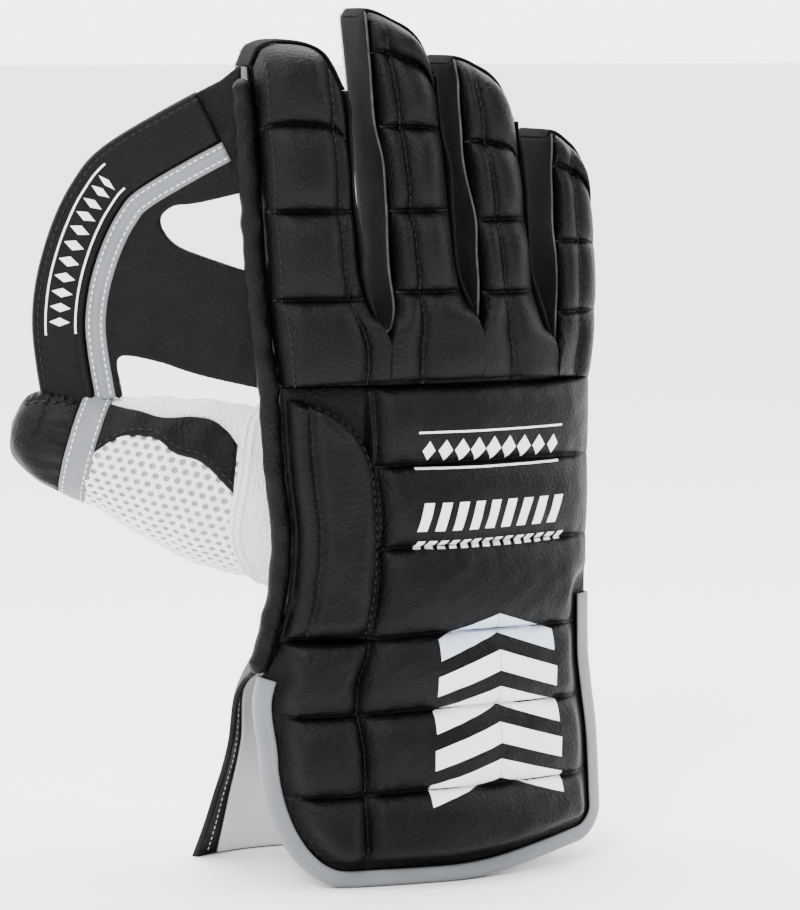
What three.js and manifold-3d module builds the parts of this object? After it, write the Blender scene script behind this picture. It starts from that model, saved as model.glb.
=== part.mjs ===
// A right-hand wicketkeeping glove, standing on its flared cuff.
// X runs from the thumb side to the little-finger side, the back of the hand faces -Y, and the fingers point up +Z.
// The glove is laid out flat, with every seam in the XZ plane, and then bowed, so that neighbours keep their gaps.

import * as THREE from "three";
import { mergeVertices } from "three/addons/utils/BufferGeometryUtils.js";
import Module from "manifold-3d";

const wasm = await Module();
wasm.setup();

// Driving sizes, in millimetres.
const gap = 0.35; // clearance between neighbouring pieces
const halfWidth = 68; // half the back of the hand
const handHeight = 194; // floor to knuckle seam
const fingerLength = 144; // knuckle seam to the middle fingertip
const palmLap = 6; // how far the palm's one piece reaches past the knuckle seam
const wristHeight = 108; // where the palm ends and the palm side of the cuff begins
const thumbSlitTop = 82; // top of the cuff's slit on the thumb side
const littleSlitTop = 107; // and on the little-finger side
const hollowDepth = 34; // space for the hand, front to back
const tipHollowLoss = 9; // how much shallower the hollow is at the fingertips
const seatY = -18; // the plane that the padding is sewn to

const leather = 1.6; // finger walls and fingertip strips
const palmWall = 3; // palm with its rubber facing
const padEdge = 4; // padding at its edges
const padRise = 10; // how far the padding stands above its edge
const finRise = 6; // how far a finger wall's raw edge stands past the seat
const crotchDepth = 3; // leather below each finger crotch
const flareLength = 27; // over which two fingers part above their crotch
const sidePadRise = 8; // the raised pad beside the thumb
const sidePadSeat = 6; // thickness of the back panel under it
const sidePadCorner = 34; // height of its round upper corner
const sidePadClear = 1.5; // how far it stays above the seam below it
const rollRadius = 4; // piping along the index side
const rollBelowTip = 0.1045; // share of fingerLength between the piping's end and the index tip

const bindingWall = 1.5; // grey tape round the back of the cuff
const bindingLip = 4.2; // how far it reaches over the leather
const bindingSlack = 0.55; // clearance between the tape and the leather in its fold
const bindingReach = 4; // how far the space for the tape goes past the edge
const marginThickness = 5; // back panel inside the tape
const hemCorner = { width: 30, height: 50 }; // big round corner on the thumb side
const hemCornerRight = { width: 12, height: 13 }; // small one on the other side
const hemRise = 8; // how much the hem climbs to the little-finger side
const frontFlare = 8; // how far the hem stands forward
const backFlare = 30; // how far the palm side of the cuff stands back
const cuffWiden = 27; // how much wider it is at the hem on the thumb side
const cuffWidenPower = 1.75; // how late that widening comes
const cuffWidenRight = 9; // and on the little-finger side
const cuffWall = 2.4;
const cuffArch = 9; // height of the arch in the palm side's hem
const liningWall = 1;
const facingWidth = 0.1; // leather facing beside the lining, as a share of the half section
const liningTop = 88;

const thumbBase = new THREE.Vector3(-66, 7, 151);
const thumbReach = 97; // from the hand's side to the thumb's tip
const thumbOut = 22; // degrees towards the palm
const thumbUp = 16; // degrees above level
const thumbHalfHeight = 34;
const thumbHalfDepth = 17;
const thumbWall = 2.2;
const bandRelief = 0.4; // how far the grey band stands out
const collarInside = 12; // how far the collar reaches into the hand

const webStart = new THREE.Vector3(-68, 0.1, 0);
const webTurn = 25.8; // degrees towards the palm
const webSpan = 84;
const webBelowTip = 0.0837; // share of fingerLength between the web's top and the index tip
const webHeight = 130;
const webThickness = 3;
const webDepth = 0.1; // where the web meets the finger, as a share of the hollow's depth
const bandWidth = 21;
const bandThickness = 1.6;
const stripWidth = 8;
const stripThickness = 1;

const bowThumbSide = 8; // how far the glove's thumb side falls back
const bowLittleSide = 19; // and its little-finger side
const bowPower = 2.2;
const bowFade = 0.5; // share of that lost at the palm
const fingerBend = 12; // how far the fingertips lean to the palm
const sideTaper = 0.05; // how much narrower the glove is at its palm than at its back

const backThickness = padEdge + padRise;
const palmTop = handHeight + palmLap;
const palmY = seatY + hollowDepth;

// The hand's outline: heights as shares of handHeight, edges as shares of halfWidth.
const handOutline = [
  { height: 0, left: -1.02, right: 1.13 },
  { height: 0.26, left: -1.02, right: 1.11 },
  { height: 0.365, left: -1.05, right: 1.07 },
  { height: 0.42, left: -1.02, right: 1.05 },
  { height: 0.46, left: -0.965, right: 1.046 },
  { height: 0.53, left: -0.91, right: 1.045 },
  { height: 0.6, left: -0.868, right: 1.046 },
  { height: 0.71, left: -0.847, right: 1.054 },
  { height: 0.81, left: -0.877, right: 1.058 },
  { height: 0.93, left: -0.903, right: 1.063 },
  { height: 1, left: -0.912, right: 1.065 },
];

// Fingers: edges as shares of halfWidth where the straight part begins and at the tip, tips and seams as shares of fingerLength.
const fingers = [
  {
    name: "index",
    baseLeft: -0.985,
    baseRight: -0.425,
    tipLeft: -1.03,
    tipRight: -0.49,
    tip: 0.917,
    seams: [0.233, 0.465, 0.7],
    groove: 0.8,
    top: "square",
  },
  {
    name: "middle",
    baseLeft: -0.28,
    baseRight: 0.14,
    tipLeft: -0.39,
    tipRight: 0.02,
    tip: 1,
    seams: [0.25, 0.465, 0.688, 0.896],
    groove: 0.3,
    top: "slanted",
  },
  {
    name: "ring",
    baseLeft: 0.235,
    baseRight: 0.62,
    tipLeft: 0.12,
    tipRight: 0.51,
    tip: 0.875,
    seams: [0.243, 0.438, 0.653],
    groove: 0.3,
    top: "slanted",
  },
  {
    name: "little",
    baseLeft: 0.757,
    baseRight: 1.11,
    tipLeft: 0.745,
    tipRight: 1.06,
    tip: 0.674,
    seams: [0.18, 0.375, 0.59],
    groove: 0.5,
    top: "slanted",
  },
];
const acrossFinger = [0, 0.08, 0.25, 0.45, 0.65, 0.8, 0.92, 1]; // stations from edge to edge
const straightFrom = 0.35; // share of fingerLength where a finger's edges run straight
const crotches = [
  { x: -0.3, height: 0.153 },
  { x: 0.249, height: 0.174 },
  { x: 0.757, height: 0.104 },
];

// How far a fingertip's outline drops below its peak, as shares of tipDrop, from its left edge to its right.
const tipDrop = 24;
const tipShapes = {
  square: [
    { across: 0, drop: 0.42 },
    { across: 0.12, drop: 0.1 },
    { across: 0.45, drop: 0 },
    { across: 0.8, drop: 0.2 },
    { across: 1, drop: 0.8 },
  ],
  slanted: [
    { across: 0, drop: 0.14 },
    { across: 0.12, drop: 0 },
    { across: 0.45, drop: 0.14 },
    { across: 0.8, drop: 0.46 },
    { across: 1, drop: 1.05 },
  ],
};

const indexTop = handHeight + fingerLength * fingers[0].tip;
const rollTop = indexTop - rollBelowTip * fingerLength;
const webTop = indexTop - webBelowTip * fingerLength;

// Ribs of the back panel, as shares of handHeight.
const ribSeams = [0.02, 0.184, 0.345, 0.497, 0.675, 0.84, 1];
const columnSeam = 0.262; // share of the width, where the thumb-side column ends
const sidePadFrom = 0.497; // share of handHeight
const sidePadTo = 0.975;

// The thumb, along its length: half height and half depth as shares of the base's.
const thumbSections = [
  { along: -0.1, height: 0.93, depth: 0.76 },
  { along: 0, height: 0.96, depth: 0.8 },
  { along: 0.19, height: 0.93, depth: 0.94 },
  { along: 0.39, height: 0.81, depth: 1.0 },
  { along: 0.61, height: 0.64, depth: 0.98 },
  { along: 0.74, height: 0.585, depth: 0.95 },
  { along: 0.84, height: 0.55, depth: 0.9 },
  { along: 0.92, height: 0.46, depth: 0.76 },
  { along: 0.975, height: 0.29, depth: 0.48 },
  { along: 1, height: 0, depth: 0 },
];
const collarEnd = 0.085;
const bandFrom = 0.62;
const bandTo = 0.74;
// The patch's lower and upper edges along the thumb, in degrees up from its front.
const patchEdges = [
  { along: 0.085, lower: 4, upper: 46 },
  { along: 0.2, lower: 16, upper: 40 },
  { along: 0.32, lower: 18, upper: 44 },
  { along: 0.45, lower: 26, upper: 52 },
  { along: 0.567, lower: 16, upper: 61 },
  { along: 0.62, lower: 2, upper: 65 },
];
const meshFrom = -85; // the mesh's lower edge, in the same degrees

// The web's outer edge: shares of webSpan from the index finger, and of webHeight above its foot.
const webEdge = [
  { out: -0.02, up: 1.02 },
  { out: 0.383, up: 0.885 },
  { out: 0.677, up: 0.77 },
  { out: 0.811, up: 0.67 },
  { out: 0.91, up: 0.545 },
  { out: 0.981, up: 0.4 },
  { out: 1.008, up: 0.26 },
  { out: 0.99, up: 0.12 },
  { out: 0.954, up: -0.02 },
];
// The two openings beside the web's stem, in the same shares.
const upperOpening = [
  { out: 0, up: 0.41 },
  { out: 0.231, up: 0.462 },
  { out: 0.347, up: 0.498 },
  { out: 0.405, up: 0.56 },
  { out: 0.347, up: 0.602 },
  { out: 0.231, up: 0.612 },
  { out: 0, up: 0.646 },
];
const lowerOpening = [
  { out: 0.552, up: -0.05 },
  { out: 0.593, up: 0.06 },
  { out: 0.611, up: 0.145 },
  { out: 0.552, up: 0.158 },
  { out: 0.401, up: 0.138 },
  { out: 0.222, up: 0.102 },
  { out: 0, up: 0.062 },
];

const radians = (degrees) => (degrees * Math.PI) / 180;
const mix = (a, b, t) => a + (b - a) * t;
const share = (t, from = 0, to = 1) =>
  Math.min(1, Math.max(0, (t - from) / (to - from)));

// Reads a column of a table at a place, on a smooth curve through its rows.
function along(rows, key, column, place) {
  const last = rows.length - 1;
  let i = 0;
  while (i < last - 1 && place > rows[i + 1][key]) i++;
  const t = share(place, rows[i][key], rows[i + 1][key]);
  const slope = (k) => {
    const a = rows[Math.max(0, k - 1)];
    const b = rows[Math.min(last, k + 1)];
    return (b[column] - a[column]) / (b[key] - a[key]);
  };
  const span = rows[i + 1][key] - rows[i][key];
  const a = rows[i][column];
  const b = rows[i + 1][column];
  return (
    (2 * t ** 3 - 3 * t ** 2 + 1) * a +
    (t ** 3 - 2 * t ** 2 + t) * slope(i) * span +
    (3 * t ** 2 - 2 * t ** 3) * b +
    (t ** 3 - t ** 2) * slope(i + 1) * span
  );
}

// Bows a flat-laid point into the glove's real curve.
function bow(x, y, z) {
  const side = x < 0 ? bowThumbSide : bowLittleSide;
  const depth = share(y, seatY - backThickness, palmY + palmWall + backFlare);
  const fall = side * Math.abs(x / halfWidth) ** bowPower;
  const lean = share(z, handHeight, handHeight + fingerLength) ** 2;
  const narrow = 1 - sideTaper * share(y, seatY - finRise, palmY);
  return new THREE.Vector3(
    x * narrow,
    y + fall * (1 - bowFade * 1.5 * depth) + fingerBend * lean,
    z,
  );
}

// A closed geometry from points and triangles: coincident points merged, faces pointing out.
function closed(points, triangles) {
  let geometry = new THREE.BufferGeometry().setFromPoints(points);
  geometry.setIndex(triangles.flat());
  geometry = mergeVertices(geometry, 1e-3);
  const at = geometry.attributes.position;
  const corners = [0, 1, 2].map(() => new THREE.Vector3());
  let volume = 0;
  let kept = [];
  for (let i = 0; i < geometry.index.count; i += 3) {
    const [a, b, c] = [0, 1, 2].map((k) => geometry.index.getX(i + k));
    if (a === b || b === c || c === a) continue;
    [a, b, c].forEach((v, k) => corners[k].fromBufferAttribute(at, v));
    volume += corners[0].dot(corners[1].clone().cross(corners[2]));
    kept.push([a, b, c]);
  }
  if (volume < 0) kept = kept.map(([a, b, c]) => [a, c, b]);
  geometry.setIndex(kept.flat());
  return geometry;
}

// A sheet with thickness: two grids of points with the same rows and columns, joined round the edge.
// A ring's columns close on themselves.
function sheet(outer, inner, ring = false) {
  const rows = outer.length;
  const columns = outer[0].length;
  const points = [...outer.flat(), ...inner.flat()];
  const back = rows * columns;
  const triangles = [];
  const quad = (a, b, c, d) => triangles.push([a, b, c], [a, c, d]);
  const spans = ring ? columns : columns - 1;
  for (let r = 0; r < rows - 1; r++)
    for (let k = 0; k < spans; k++) {
      const [a, b] = [
        r * columns + k,
        r * columns + ((k + 1) % columns),
      ];
      quad(a, b, b + columns, a + columns);
      quad(
        back + a + columns,
        back + b + columns,
        back + b,
        back + a,
      );
    }
  for (let k = 0; k < spans; k++) {
    const next = (k + 1) % columns;
    const top = (rows - 1) * columns;
    quad(next, k, back + k, back + next);
    quad(top + k, top + next, back + top + next, back + top + k);
  }
  if (!ring)
    for (let r = 0; r < rows - 1; r++) {
      const [a, b] = [r * columns, (r + 1) * columns];
      const [c, d] = [a + columns - 1, b + columns - 1];
      quad(a, b, back + b, back + a);
      quad(d, c, back + c, back + d);
    }
  return closed(points, triangles);
}

const toSolid = (geometry) => {
  const bare = new THREE.BufferGeometry();
  bare.setAttribute("position", geometry.getAttribute("position"));
  if (geometry.index) bare.setIndex(geometry.index);
  const merged = mergeVertices(bare, 1e-3);
  return new wasm.Manifold(
    new wasm.Mesh({
      numProp: 3,
      vertProperties: new Float32Array(merged.attributes.position.array),
      triVerts: new Uint32Array(merged.index.array),
    }),
  );
};

const toGeometry = (solid) => {
  const mesh = solid.getMesh();
  const geometry = new THREE.BufferGeometry();
  geometry.setAttribute(
    "position",
    new THREE.BufferAttribute(new Float32Array(mesh.vertProperties), 3),
  );
  geometry.setIndex(new THREE.BufferAttribute(new Uint32Array(mesh.triVerts), 1));
  return geometry;
};

const cut = (geometry, ...tools) =>
  toGeometry(
    tools.reduce((solid, tool) => solid.subtract(toSolid(tool)), toSolid(geometry)),
  );

// Outlines.
const handEdge = (side, z) =>
  halfWidth * along(handOutline, "height", side, share(z, 0, handHeight));

const kneeLine = (x) => handHeight + 3 * (1 - (x / halfWidth) ** 2);

function fingerEdge(i, side, z) {
  const f = fingers[i];
  const base = side === "left" ? f.baseLeft : f.baseRight;
  const tip = side === "left" ? f.tipLeft : f.tipRight;
  const h = (z - handHeight) / fingerLength;
  const straight = mix(base, tip, (h - straightFrom) / (f.tip - straightFrom));
  const crotch = crotches[side === "left" ? i - 1 : i];
  if (crotch) {
    const t = share(h, crotch.height, crotch.height + flareLength / fingerLength);
    return (
      halfWidth * mix(crotch.x, straight, Math.sin((t * Math.PI) / 2) ** 0.8)
    );
  }
  const t = share(h, 0, straightFrom);
  const level = mix(base, tip, -straightFrom / (f.tip - straightFrom));
  const foot = handEdge(side, handHeight) / halfWidth;
  return halfWidth * (straight + (foot - level) * (1 - t) ** 2);
}

const crotchZ = (i) => handHeight + fingerLength * crotches[i].height;

// The fingertip's outline, moved inwards square to itself: a point across from 0 to 1.
function tipPoint(i, across, inset) {
  const f = fingers[i];
  const shape = tipShapes[f.top];
  const peak = handHeight + fingerLength * f.tip;
  const drop = (t) => tipDrop * along(shape, "across", "drop", share(t));
  const height = peak - drop(across);
  const left = fingerEdge(i, "left", height);
  const right = fingerEdge(i, "right", height);
  const [before, after] = [share(across - 0.02), share(across + 0.02)];
  const slope = (drop(before) - drop(after)) / ((after - before) * (right - left));
  const level = 1 / Math.sqrt(1 + slope * slope);
  const x = mix(left, right, across) + inset * slope * level;
  const kept = Math.min(right - inset, Math.max(left + inset, x));
  return { x: kept, z: height - inset * level + slope * (kept - x) };
}

// Palm side of the fingers' hollow, at a height.
const palmInnerY = (z) =>
  palmY - tipHollowLoss * share(z, palmTop, handHeight + fingerLength);

// A point of finger i: across from 0 to 1, at a height that is squeezed under the tip's outline.
function fingerPoint(i, across, z, inset, floorInset = inset) {
  const peak = handHeight + fingerLength * fingers[i].tip;
  const from = peak - 2 * tipDrop;
  const top = tipPoint(i, across, inset);
  const rise = share(z, from, peak);
  const height = z < from ? z : mix(from, top.z, rise);
  const pinch = (side) => {
    const crotch = crotches[side === "left" ? i - 1 : i];
    if (!crotch) return inset;
    const from = handHeight + fingerLength * crotch.height - crotchDepth;
    return mix(floorInset, inset, share(height, from - 2 * gap - leather, from));
  };
  const edges = (z) => [
    fingerEdge(i, "left", z) + pinch("left"),
    fingerEdge(i, "right", z) - pinch("right"),
  ];
  const place = mix(across, share(top.x, ...edges(top.z)), rise);
  return { x: mix(...edges(height), place), z: height };
}

// Pieces.
const pieces = new THREE.Group();
const finishes = {
  black_leather: { color: 0x1c1b1b, roughness: 0.5 },
  palm: { color: 0xe6e5e1, roughness: 0.8 },
  mesh: { color: 0xf1f1ef, roughness: 0.9 },
  grey_tape: { color: 0x8b9096, roughness: 0.55 },
  lining: { color: 0xdcdcdc, roughness: 0.9 },
};
for (const [slot, look] of Object.entries(finishes))
  finishes[slot] = new THREE.MeshStandardMaterial({ ...look, metalness: 0 });

function add(name, slot, geometry) {
  geometry.computeVertexNormals();
  const mesh = new THREE.Mesh(geometry, finishes[slot]);
  mesh.name = name;
  pieces.add(mesh);
}

// Rows of a quilted piece: each seam, and the rows of the padding between two seams.
function quiltRows(seams, shares) {
  const rows = [];
  seams.slice(0, -1).forEach((from, k) => {
    const to = seams[k + 1];
    for (const t of [0, ...shares])
      rows.push({ z: mix(from, to, t), fill: t ? 1 : 0 });
  });
  rows.push({ z: seams.at(-1), fill: 0 });
  return rows;
}
const crown = (t) => (1 - Math.abs(2 * t - 1) ** 2.6) ** 0.6;

function fingerPad(i) {
  const f = fingers[i];
  const inset = leather + 1.3 * gap;
  const seams = [0, ...f.seams, f.tip].map((h) => handHeight + fingerLength * h);
  const peak = seams.at(-1);
  const columns = acrossFinger;
  const nearest = columns.reduce((a, b) =>
    Math.abs(b - f.groove) < Math.abs(a - f.groove) ? b : a,
  );
  const front = [];
  const back = [];
  quiltRows(seams, [0.2, 0.5, 0.8]).forEach((row, r) => {
    const place = columns.map((t) => {
      const p = fingerPoint(i, t, row.z, inset, gap / 2);
      if (r === 0) p.z = kneeLine(p.x) + gap / 2;
      if (r === 1) p.z += 0.5;
      return p;
    });
    const end = Math.sqrt(share(peak + 2 - row.z, 0, 12));
    front.push(
      columns.map((t, k) => {
        const groove = t === nearest ? 0.75 : 1;
        const rise = padRise * crown(t) * mix(0.55, 1, row.fill) * end * groove;
        return bow(place[k].x, seatY - padEdge - rise, place[k].z);
      }),
    );
    back.push(place.map((p) => bow(p.x, seatY, p.z)));
  });
  add(`${f.name}_back`, "black_leather", sheet(front, back));
}

// A leather wall along a path of stations, each with an outer and an inner point, from a front rim to the palm.
function wall(name, stations, rimY) {
  const depths = [0, 0.5, 1];
  const side = (key) =>
    stations.map((s) =>
      depths.map((t) => bow(s[key].x, mix(rimY, palmInnerY(s[key].z), t), s[key].z)),
    );
  add(name, "black_leather", sheet(side("outer"), side("inner")));
}

// Stations up one side of a finger, from a height to just under its tip strip.
function sideStations(i, side, from, steps = 8) {
  const across = side === "left" ? 0 : 1;
  const sign = side === "left" ? 1 : -1;
  const end = (inset) => tipPoint(i, across, inset);
  const top = end(0).z - 1.5 * gap;
  return Array.from({ length: steps + 1 }, (_, k) => {
    const t = k / steps;
    const z = mix(from, top, t);
    const inner = mix(from, end(leather).z - 1.5 * gap, t);
    return {
      outer: { x: fingerEdge(i, side, z), z },
      inner: { x: fingerEdge(i, side, inner) + sign * leather, z: inner },
    };
  });
}

function fingerWalls() {
  const hiddenRim = seatY + gap;
  const rawRim = seatY - finRise;
  wall("index_side", sideStations(0, "left", palmTop + gap), hiddenRim);
  wall("little_side", sideStations(3, "right", palmTop + gap), hiddenRim);
  fingers.forEach((f, i) => {
    const stations = acrossFinger.map((t) => ({
      outer: tipPoint(i, t, 0),
      inner: tipPoint(i, t, leather),
    }));
    wall(`${f.name}_tip`, stations, rawRim);
  });
  crotches.forEach((crotch, i) => {
    const x = halfWidth * crotch.x;
    const z = crotchZ(i);
    const down = sideStations(i, "right", z, 9).slice(1).reverse();
    const up = sideStations(i + 1, "left", z, 9).slice(1);
    const foot = {
      outer: { x, z },
      inner: { x, z: z - crotchDepth },
    };
    const name = `${fingers[i].name}_${fingers[i + 1].name}_gusset`;
    wall(name, [...down, foot, ...up], rawRim);
  });
}

function fingerFace(i) {
  const f = fingers[i];
  const peak = handHeight + fingerLength * f.tip;
  const columns = [0, 0.2, 0.5, 0.8, 1];
  const rows = Array.from({ length: 10 }, (_, k) => mix(palmTop, peak, k / 9));
  const grid = (y) =>
    rows.map((z, r) =>
      columns.map((t) => {
        const p = fingerPoint(i, t, z, gap / 2);
        if (r === 0) p.z = palmTop + gap;
        return bow(p.x, y(t, p.z), p.z);
      }),
    );
  const inner = grid((t, z) => palmInnerY(z) + gap);
  const outer = grid((t, z) => palmInnerY(z) + gap + palmWall * mix(0.6, 1.3, crown(t)));
  add(`${f.name}_palm`, "palm", sheet(outer, inner));
}

// The hand's section behind the back panel: an open squared-off oval from one side to the other.
const sectionPower = 2 / 4;
function section(left, right, back, from, to, steps) {
  const middle = (left + right) / 2;
  const half = (right - left) / 2;
  const front = seatY + gap;
  return Array.from({ length: steps + 1 }, (_, k) => {
    const angle = mix(from, Math.PI - to, k / steps);
    const [c, s] = [Math.cos(angle), Math.max(0, Math.sin(angle))];
    return {
      x: middle + half * Math.sign(c) * Math.abs(c) ** sectionPower,
      y: front + (back - front) * s ** sectionPower,
    };
  });
}

// The thumb's frame: along it, up across it, and towards the back of the hand.
const thumbAlong = new THREE.Vector3(
  -Math.cos(radians(thumbOut)),
  Math.sin(radians(thumbOut)),
  Math.tan(radians(thumbUp)),
).normalize();
const thumbRise = new THREE.Vector3(0, 0, 1)
  .addScaledVector(thumbAlong, -thumbAlong.z)
  .normalize();
const thumbFront = new THREE.Vector3().crossVectors(thumbRise, thumbAlong);
if (thumbFront.y > 0) thumbFront.negate();

// A point on the thumb's skin: a share along it, an angle up from its front, and an inset.
function thumbPoint(place, angle, inset) {
  const height = thumbHalfHeight * along(thumbSections, "along", "height", place);
  const depth = thumbHalfDepth * along(thumbSections, "along", "depth", place);
  const [up, out] = [Math.max(0, height - inset), Math.max(0, depth - inset)];
  const last = thumbSections.at(-1).along;
  const back = place >= last ? inset : 0;
  return thumbBase
    .clone()
    .addScaledVector(thumbAlong, thumbReach * place - back)
    .addScaledVector(thumbRise, up * Math.sin(radians(angle)))
    .addScaledVector(thumbFront, out * Math.cos(radians(angle)));
}

// The thumb as a filled body that stands out by a clearance.
function thumbCore(places, clearance) {
  const skin = places.map((p) => allRound.map((a) => thumbPoint(p, a, -clearance)));
  const axis = places.map((p) => allRound.map(() => thumbPoint(p, 0, 2 * thumbHalfDepth)));
  return sheet(skin, axis, true);
}

// The angles may be one list, or a rule that gives them at each place along the thumb.
function thumbPiece(places, angles, outside, inside, ring) {
  const at = typeof angles === "function" ? angles : () => angles;
  const grid = (inset) =>
    places.map((p) => at(p).map((a) => thumbPoint(p, a, inset)));
  return sheet(grid(outside), grid(inside), ring);
}

const spread = (from, to, steps) =>
  Array.from({ length: steps + 1 }, (_, k) => mix(from, to, k / steps));
const tipSections = thumbSections.slice(-4).map((row) => row.along);
const wholeTurn = 360;
const allRound = spread(0, wholeTurn, 18).slice(0, -1);

const seam = gap / thumbReach;
const stallPlaces = spread(collarEnd, bandFrom - seam, 8);

function thumb() {
  const turn = (gap / thumbHalfDepth) * (180 / Math.PI) * 0.5;
  const inner = -collarInside / thumbReach;
  add(
    "thumb_collar",
    "palm",
    thumbPiece(spread(inner, collarEnd - seam, 3), allRound, 0, thumbWall, true),
  );
  const lower = (p) => along(patchEdges, "along", "lower", p);
  const upper = (p) => along(patchEdges, "along", "upper", p);
  const face = (p) => spread(meshFrom + turn, lower(p) - turn, 7);
  const top = (p) => spread(lower(p) + turn, upper(p) - turn, 3);
  const behind = (p) => spread(upper(p) + turn, meshFrom + wholeTurn - turn, 10);
  add("thumb_mesh", "mesh", thumbPiece(stallPlaces, face, 0, thumbWall));
  add("thumb_patch", "black_leather", thumbPiece(stallPlaces, top, 0, thumbWall));
  add("thumb_palm", "palm", thumbPiece(stallPlaces, behind, 0, thumbWall));
  const tape = spread(bandFrom, bandTo - seam, 2);
  add("thumb_band", "grey_tape", thumbPiece(tape, allRound, -bandRelief, thumbWall, true));
  const cap = [bandTo, ...tipSections];
  add("thumb_cap", "black_leather", thumbPiece(cap, allRound, 0, thumbWall, true));
}

function palmSide() {
  const rows = spread(wristHeight + gap, palmTop, 5);
  const grid = (inset) =>
    rows.map((z) => {
      const left = handEdge("left", z) + inset;
      const right = handEdge("right", z) - inset;
      const back = palmY + palmWall - inset;
      return section(left, right, back, 0, 0, 18).map((p) => bow(p.x, p.y, z));
    });
  const shell = sheet(grid(0), grid(palmWall));
  // The thumb's collar passes through the hand's side with the usual gap round it.
  add("palm_face", "palm", cut(shell, thumbCore([-0.3, -0.1, 0, ...stallPlaces.slice(0, 3)], gap)));
}

// The palm side of the cuff, flared back from the wrist, with its edges drawn back below each slit.
const cuffSection = (z, inset, edge) => {
  const down = share(wristHeight - z, 0, wristHeight);
  const left = handEdge("left", z) - cuffWiden * down ** cuffWidenPower + inset;
  const right = handEdge("right", z) + cuffWidenRight * down - inset;
  const back = palmY + palmWall + backFlare * down ** 1.25 - inset;
  const open = (top) =>
    share(top - z, 0, top) ** 0.8 * radians(38) + edge;
  const notch = open(littleSlitTop) + radians(1.5);
  return section(left, right, back, notch, open(thumbSlitTop), 16);
};

function cuffBack() {
  const hem = (x) =>
    cuffArch * Math.max(0, 1 - (x / (halfWidth * 0.62)) ** 2);
  const layer = (rows, inset, edge, lift) =>
    rows.map((level) =>
      cuffSection(level, inset, edge).map((q, k) => {
        const z = Math.max(level, hem(q.x) + lift);
        const p = cuffSection(z, inset, edge)[k];
        return bow(p.x, p.y, z);
      }),
    );
  const rows = [0, ...spread(cuffArch + 1, wristHeight, 6)];
  add(
    "palm_cuff",
    "black_leather",
    sheet(layer(rows, 0, 0, 0), layer(rows, cuffWall, 0, 0)),
  );
  const inner = cuffWall + 2 * gap;
  const inside = [3, ...spread(cuffArch + 4, liningTop, 5)];
  add(
    "cuff_lining",
    "lining",
    sheet(
      layer(inside, inner, facingWidth, 3),
      layer(inside, inner + liningWall, facingWidth, 3),
    ),
  );
}

// The back panel's hem: a big round corner, a level stretch that the glove stands on, and a rise to the far corner.
const hemFloor = bindingWall + bindingSlack;
function hem(x) {
  const left = handEdge("left", 0) + leather + gap;
  const right = handEdge("right", 0) - leather - gap;
  const near = share(left + hemCorner.width - x, 0, hemCorner.width);
  const far = share(x - right + hemCornerRight.width, 0, hemCornerRight.width);
  const climb = share(x, halfWidth * 0.05, right);
  return (
    hemFloor +
    hemCorner.height * (1 - Math.sqrt(1 - near * near)) +
    hemCornerRight.height * (1 - Math.sqrt(1 - far * far)) +
    hemRise * climb * climb * (3 - 2 * climb)
  );
}

const flareForward = (z) => frontFlare * share(wristHeight - z, 0, wristHeight) ** 2;
const backPoint = (x, y, z) => bow(x, y - flareForward(z), z);
const panelEdge = (side, z) =>
  handEdge(side, z) + (side === "left" ? 1 : -1) * (leather + gap);

const panelColumns = [
  0, 0.012, 0.04, 0.09, 0.16, 0.22, columnSeam, 0.3, 0.4, 0.5, 0.6, 0.7, 0.8,
  0.88, 0.94, 0.98, 1,
];

// The place where the raised side pad ends, across the panel, at a height.
function sidePadEdge(z) {
  const [bottom, top] = [sidePadFrom, sidePadTo].map((h) => h * handHeight);
  const round = share(z, top - sidePadCorner, top);
  return columnSeam * Math.sqrt(Math.max(0, 1 - round ** 2.4));
}

function backPanel() {
  const seams = ribSeams.map((h) => h * handHeight);
  const rows = quiltRows(seams, [0.2, 0.8]);
  const point = (t, level) => {
    let [x, z] = [0, level];
    for (let k = 0; k < 12; k++) {
      x = mix(panelEdge("left", z), panelEdge("right", z), t);
      z = Math.max(level, hem(x));
    }
    return { x, z: Math.min(z, kneeLine(x) - gap / 2) };
  };
  const top = seams.at(-1);
  rows[0].z = 0;
  const front = [];
  const back = [];
  for (const row of rows) {
    const place = panelColumns.map((t) => point(t, row.z));
    if (row.z === top) place.forEach((p) => (p.z = kneeLine(p.x) - gap / 2));
    front.push(
      panelColumns.map((t, k) => {
        const inPad = row.z > sidePadFrom * handHeight - 1 && t <= columnSeam;
        const column = t < columnSeam ? t / columnSeam : (t - columnSeam) / (1 - columnSeam);
        const rise = padRise * crown(column) ** 0.5 * mix(0.5, 1, row.fill);
        const thick = inPad ? sidePadSeat : padEdge + rise;
        return backPoint(place[k].x, seatY - thick, place[k].z);
      }),
    );
    back.push(place.map((p) => backPoint(p.x, seatY, p.z)));
  }
  add("back_panel", "black_leather", cut(sheet(front, back), bindingSweep(true)));
}

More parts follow.
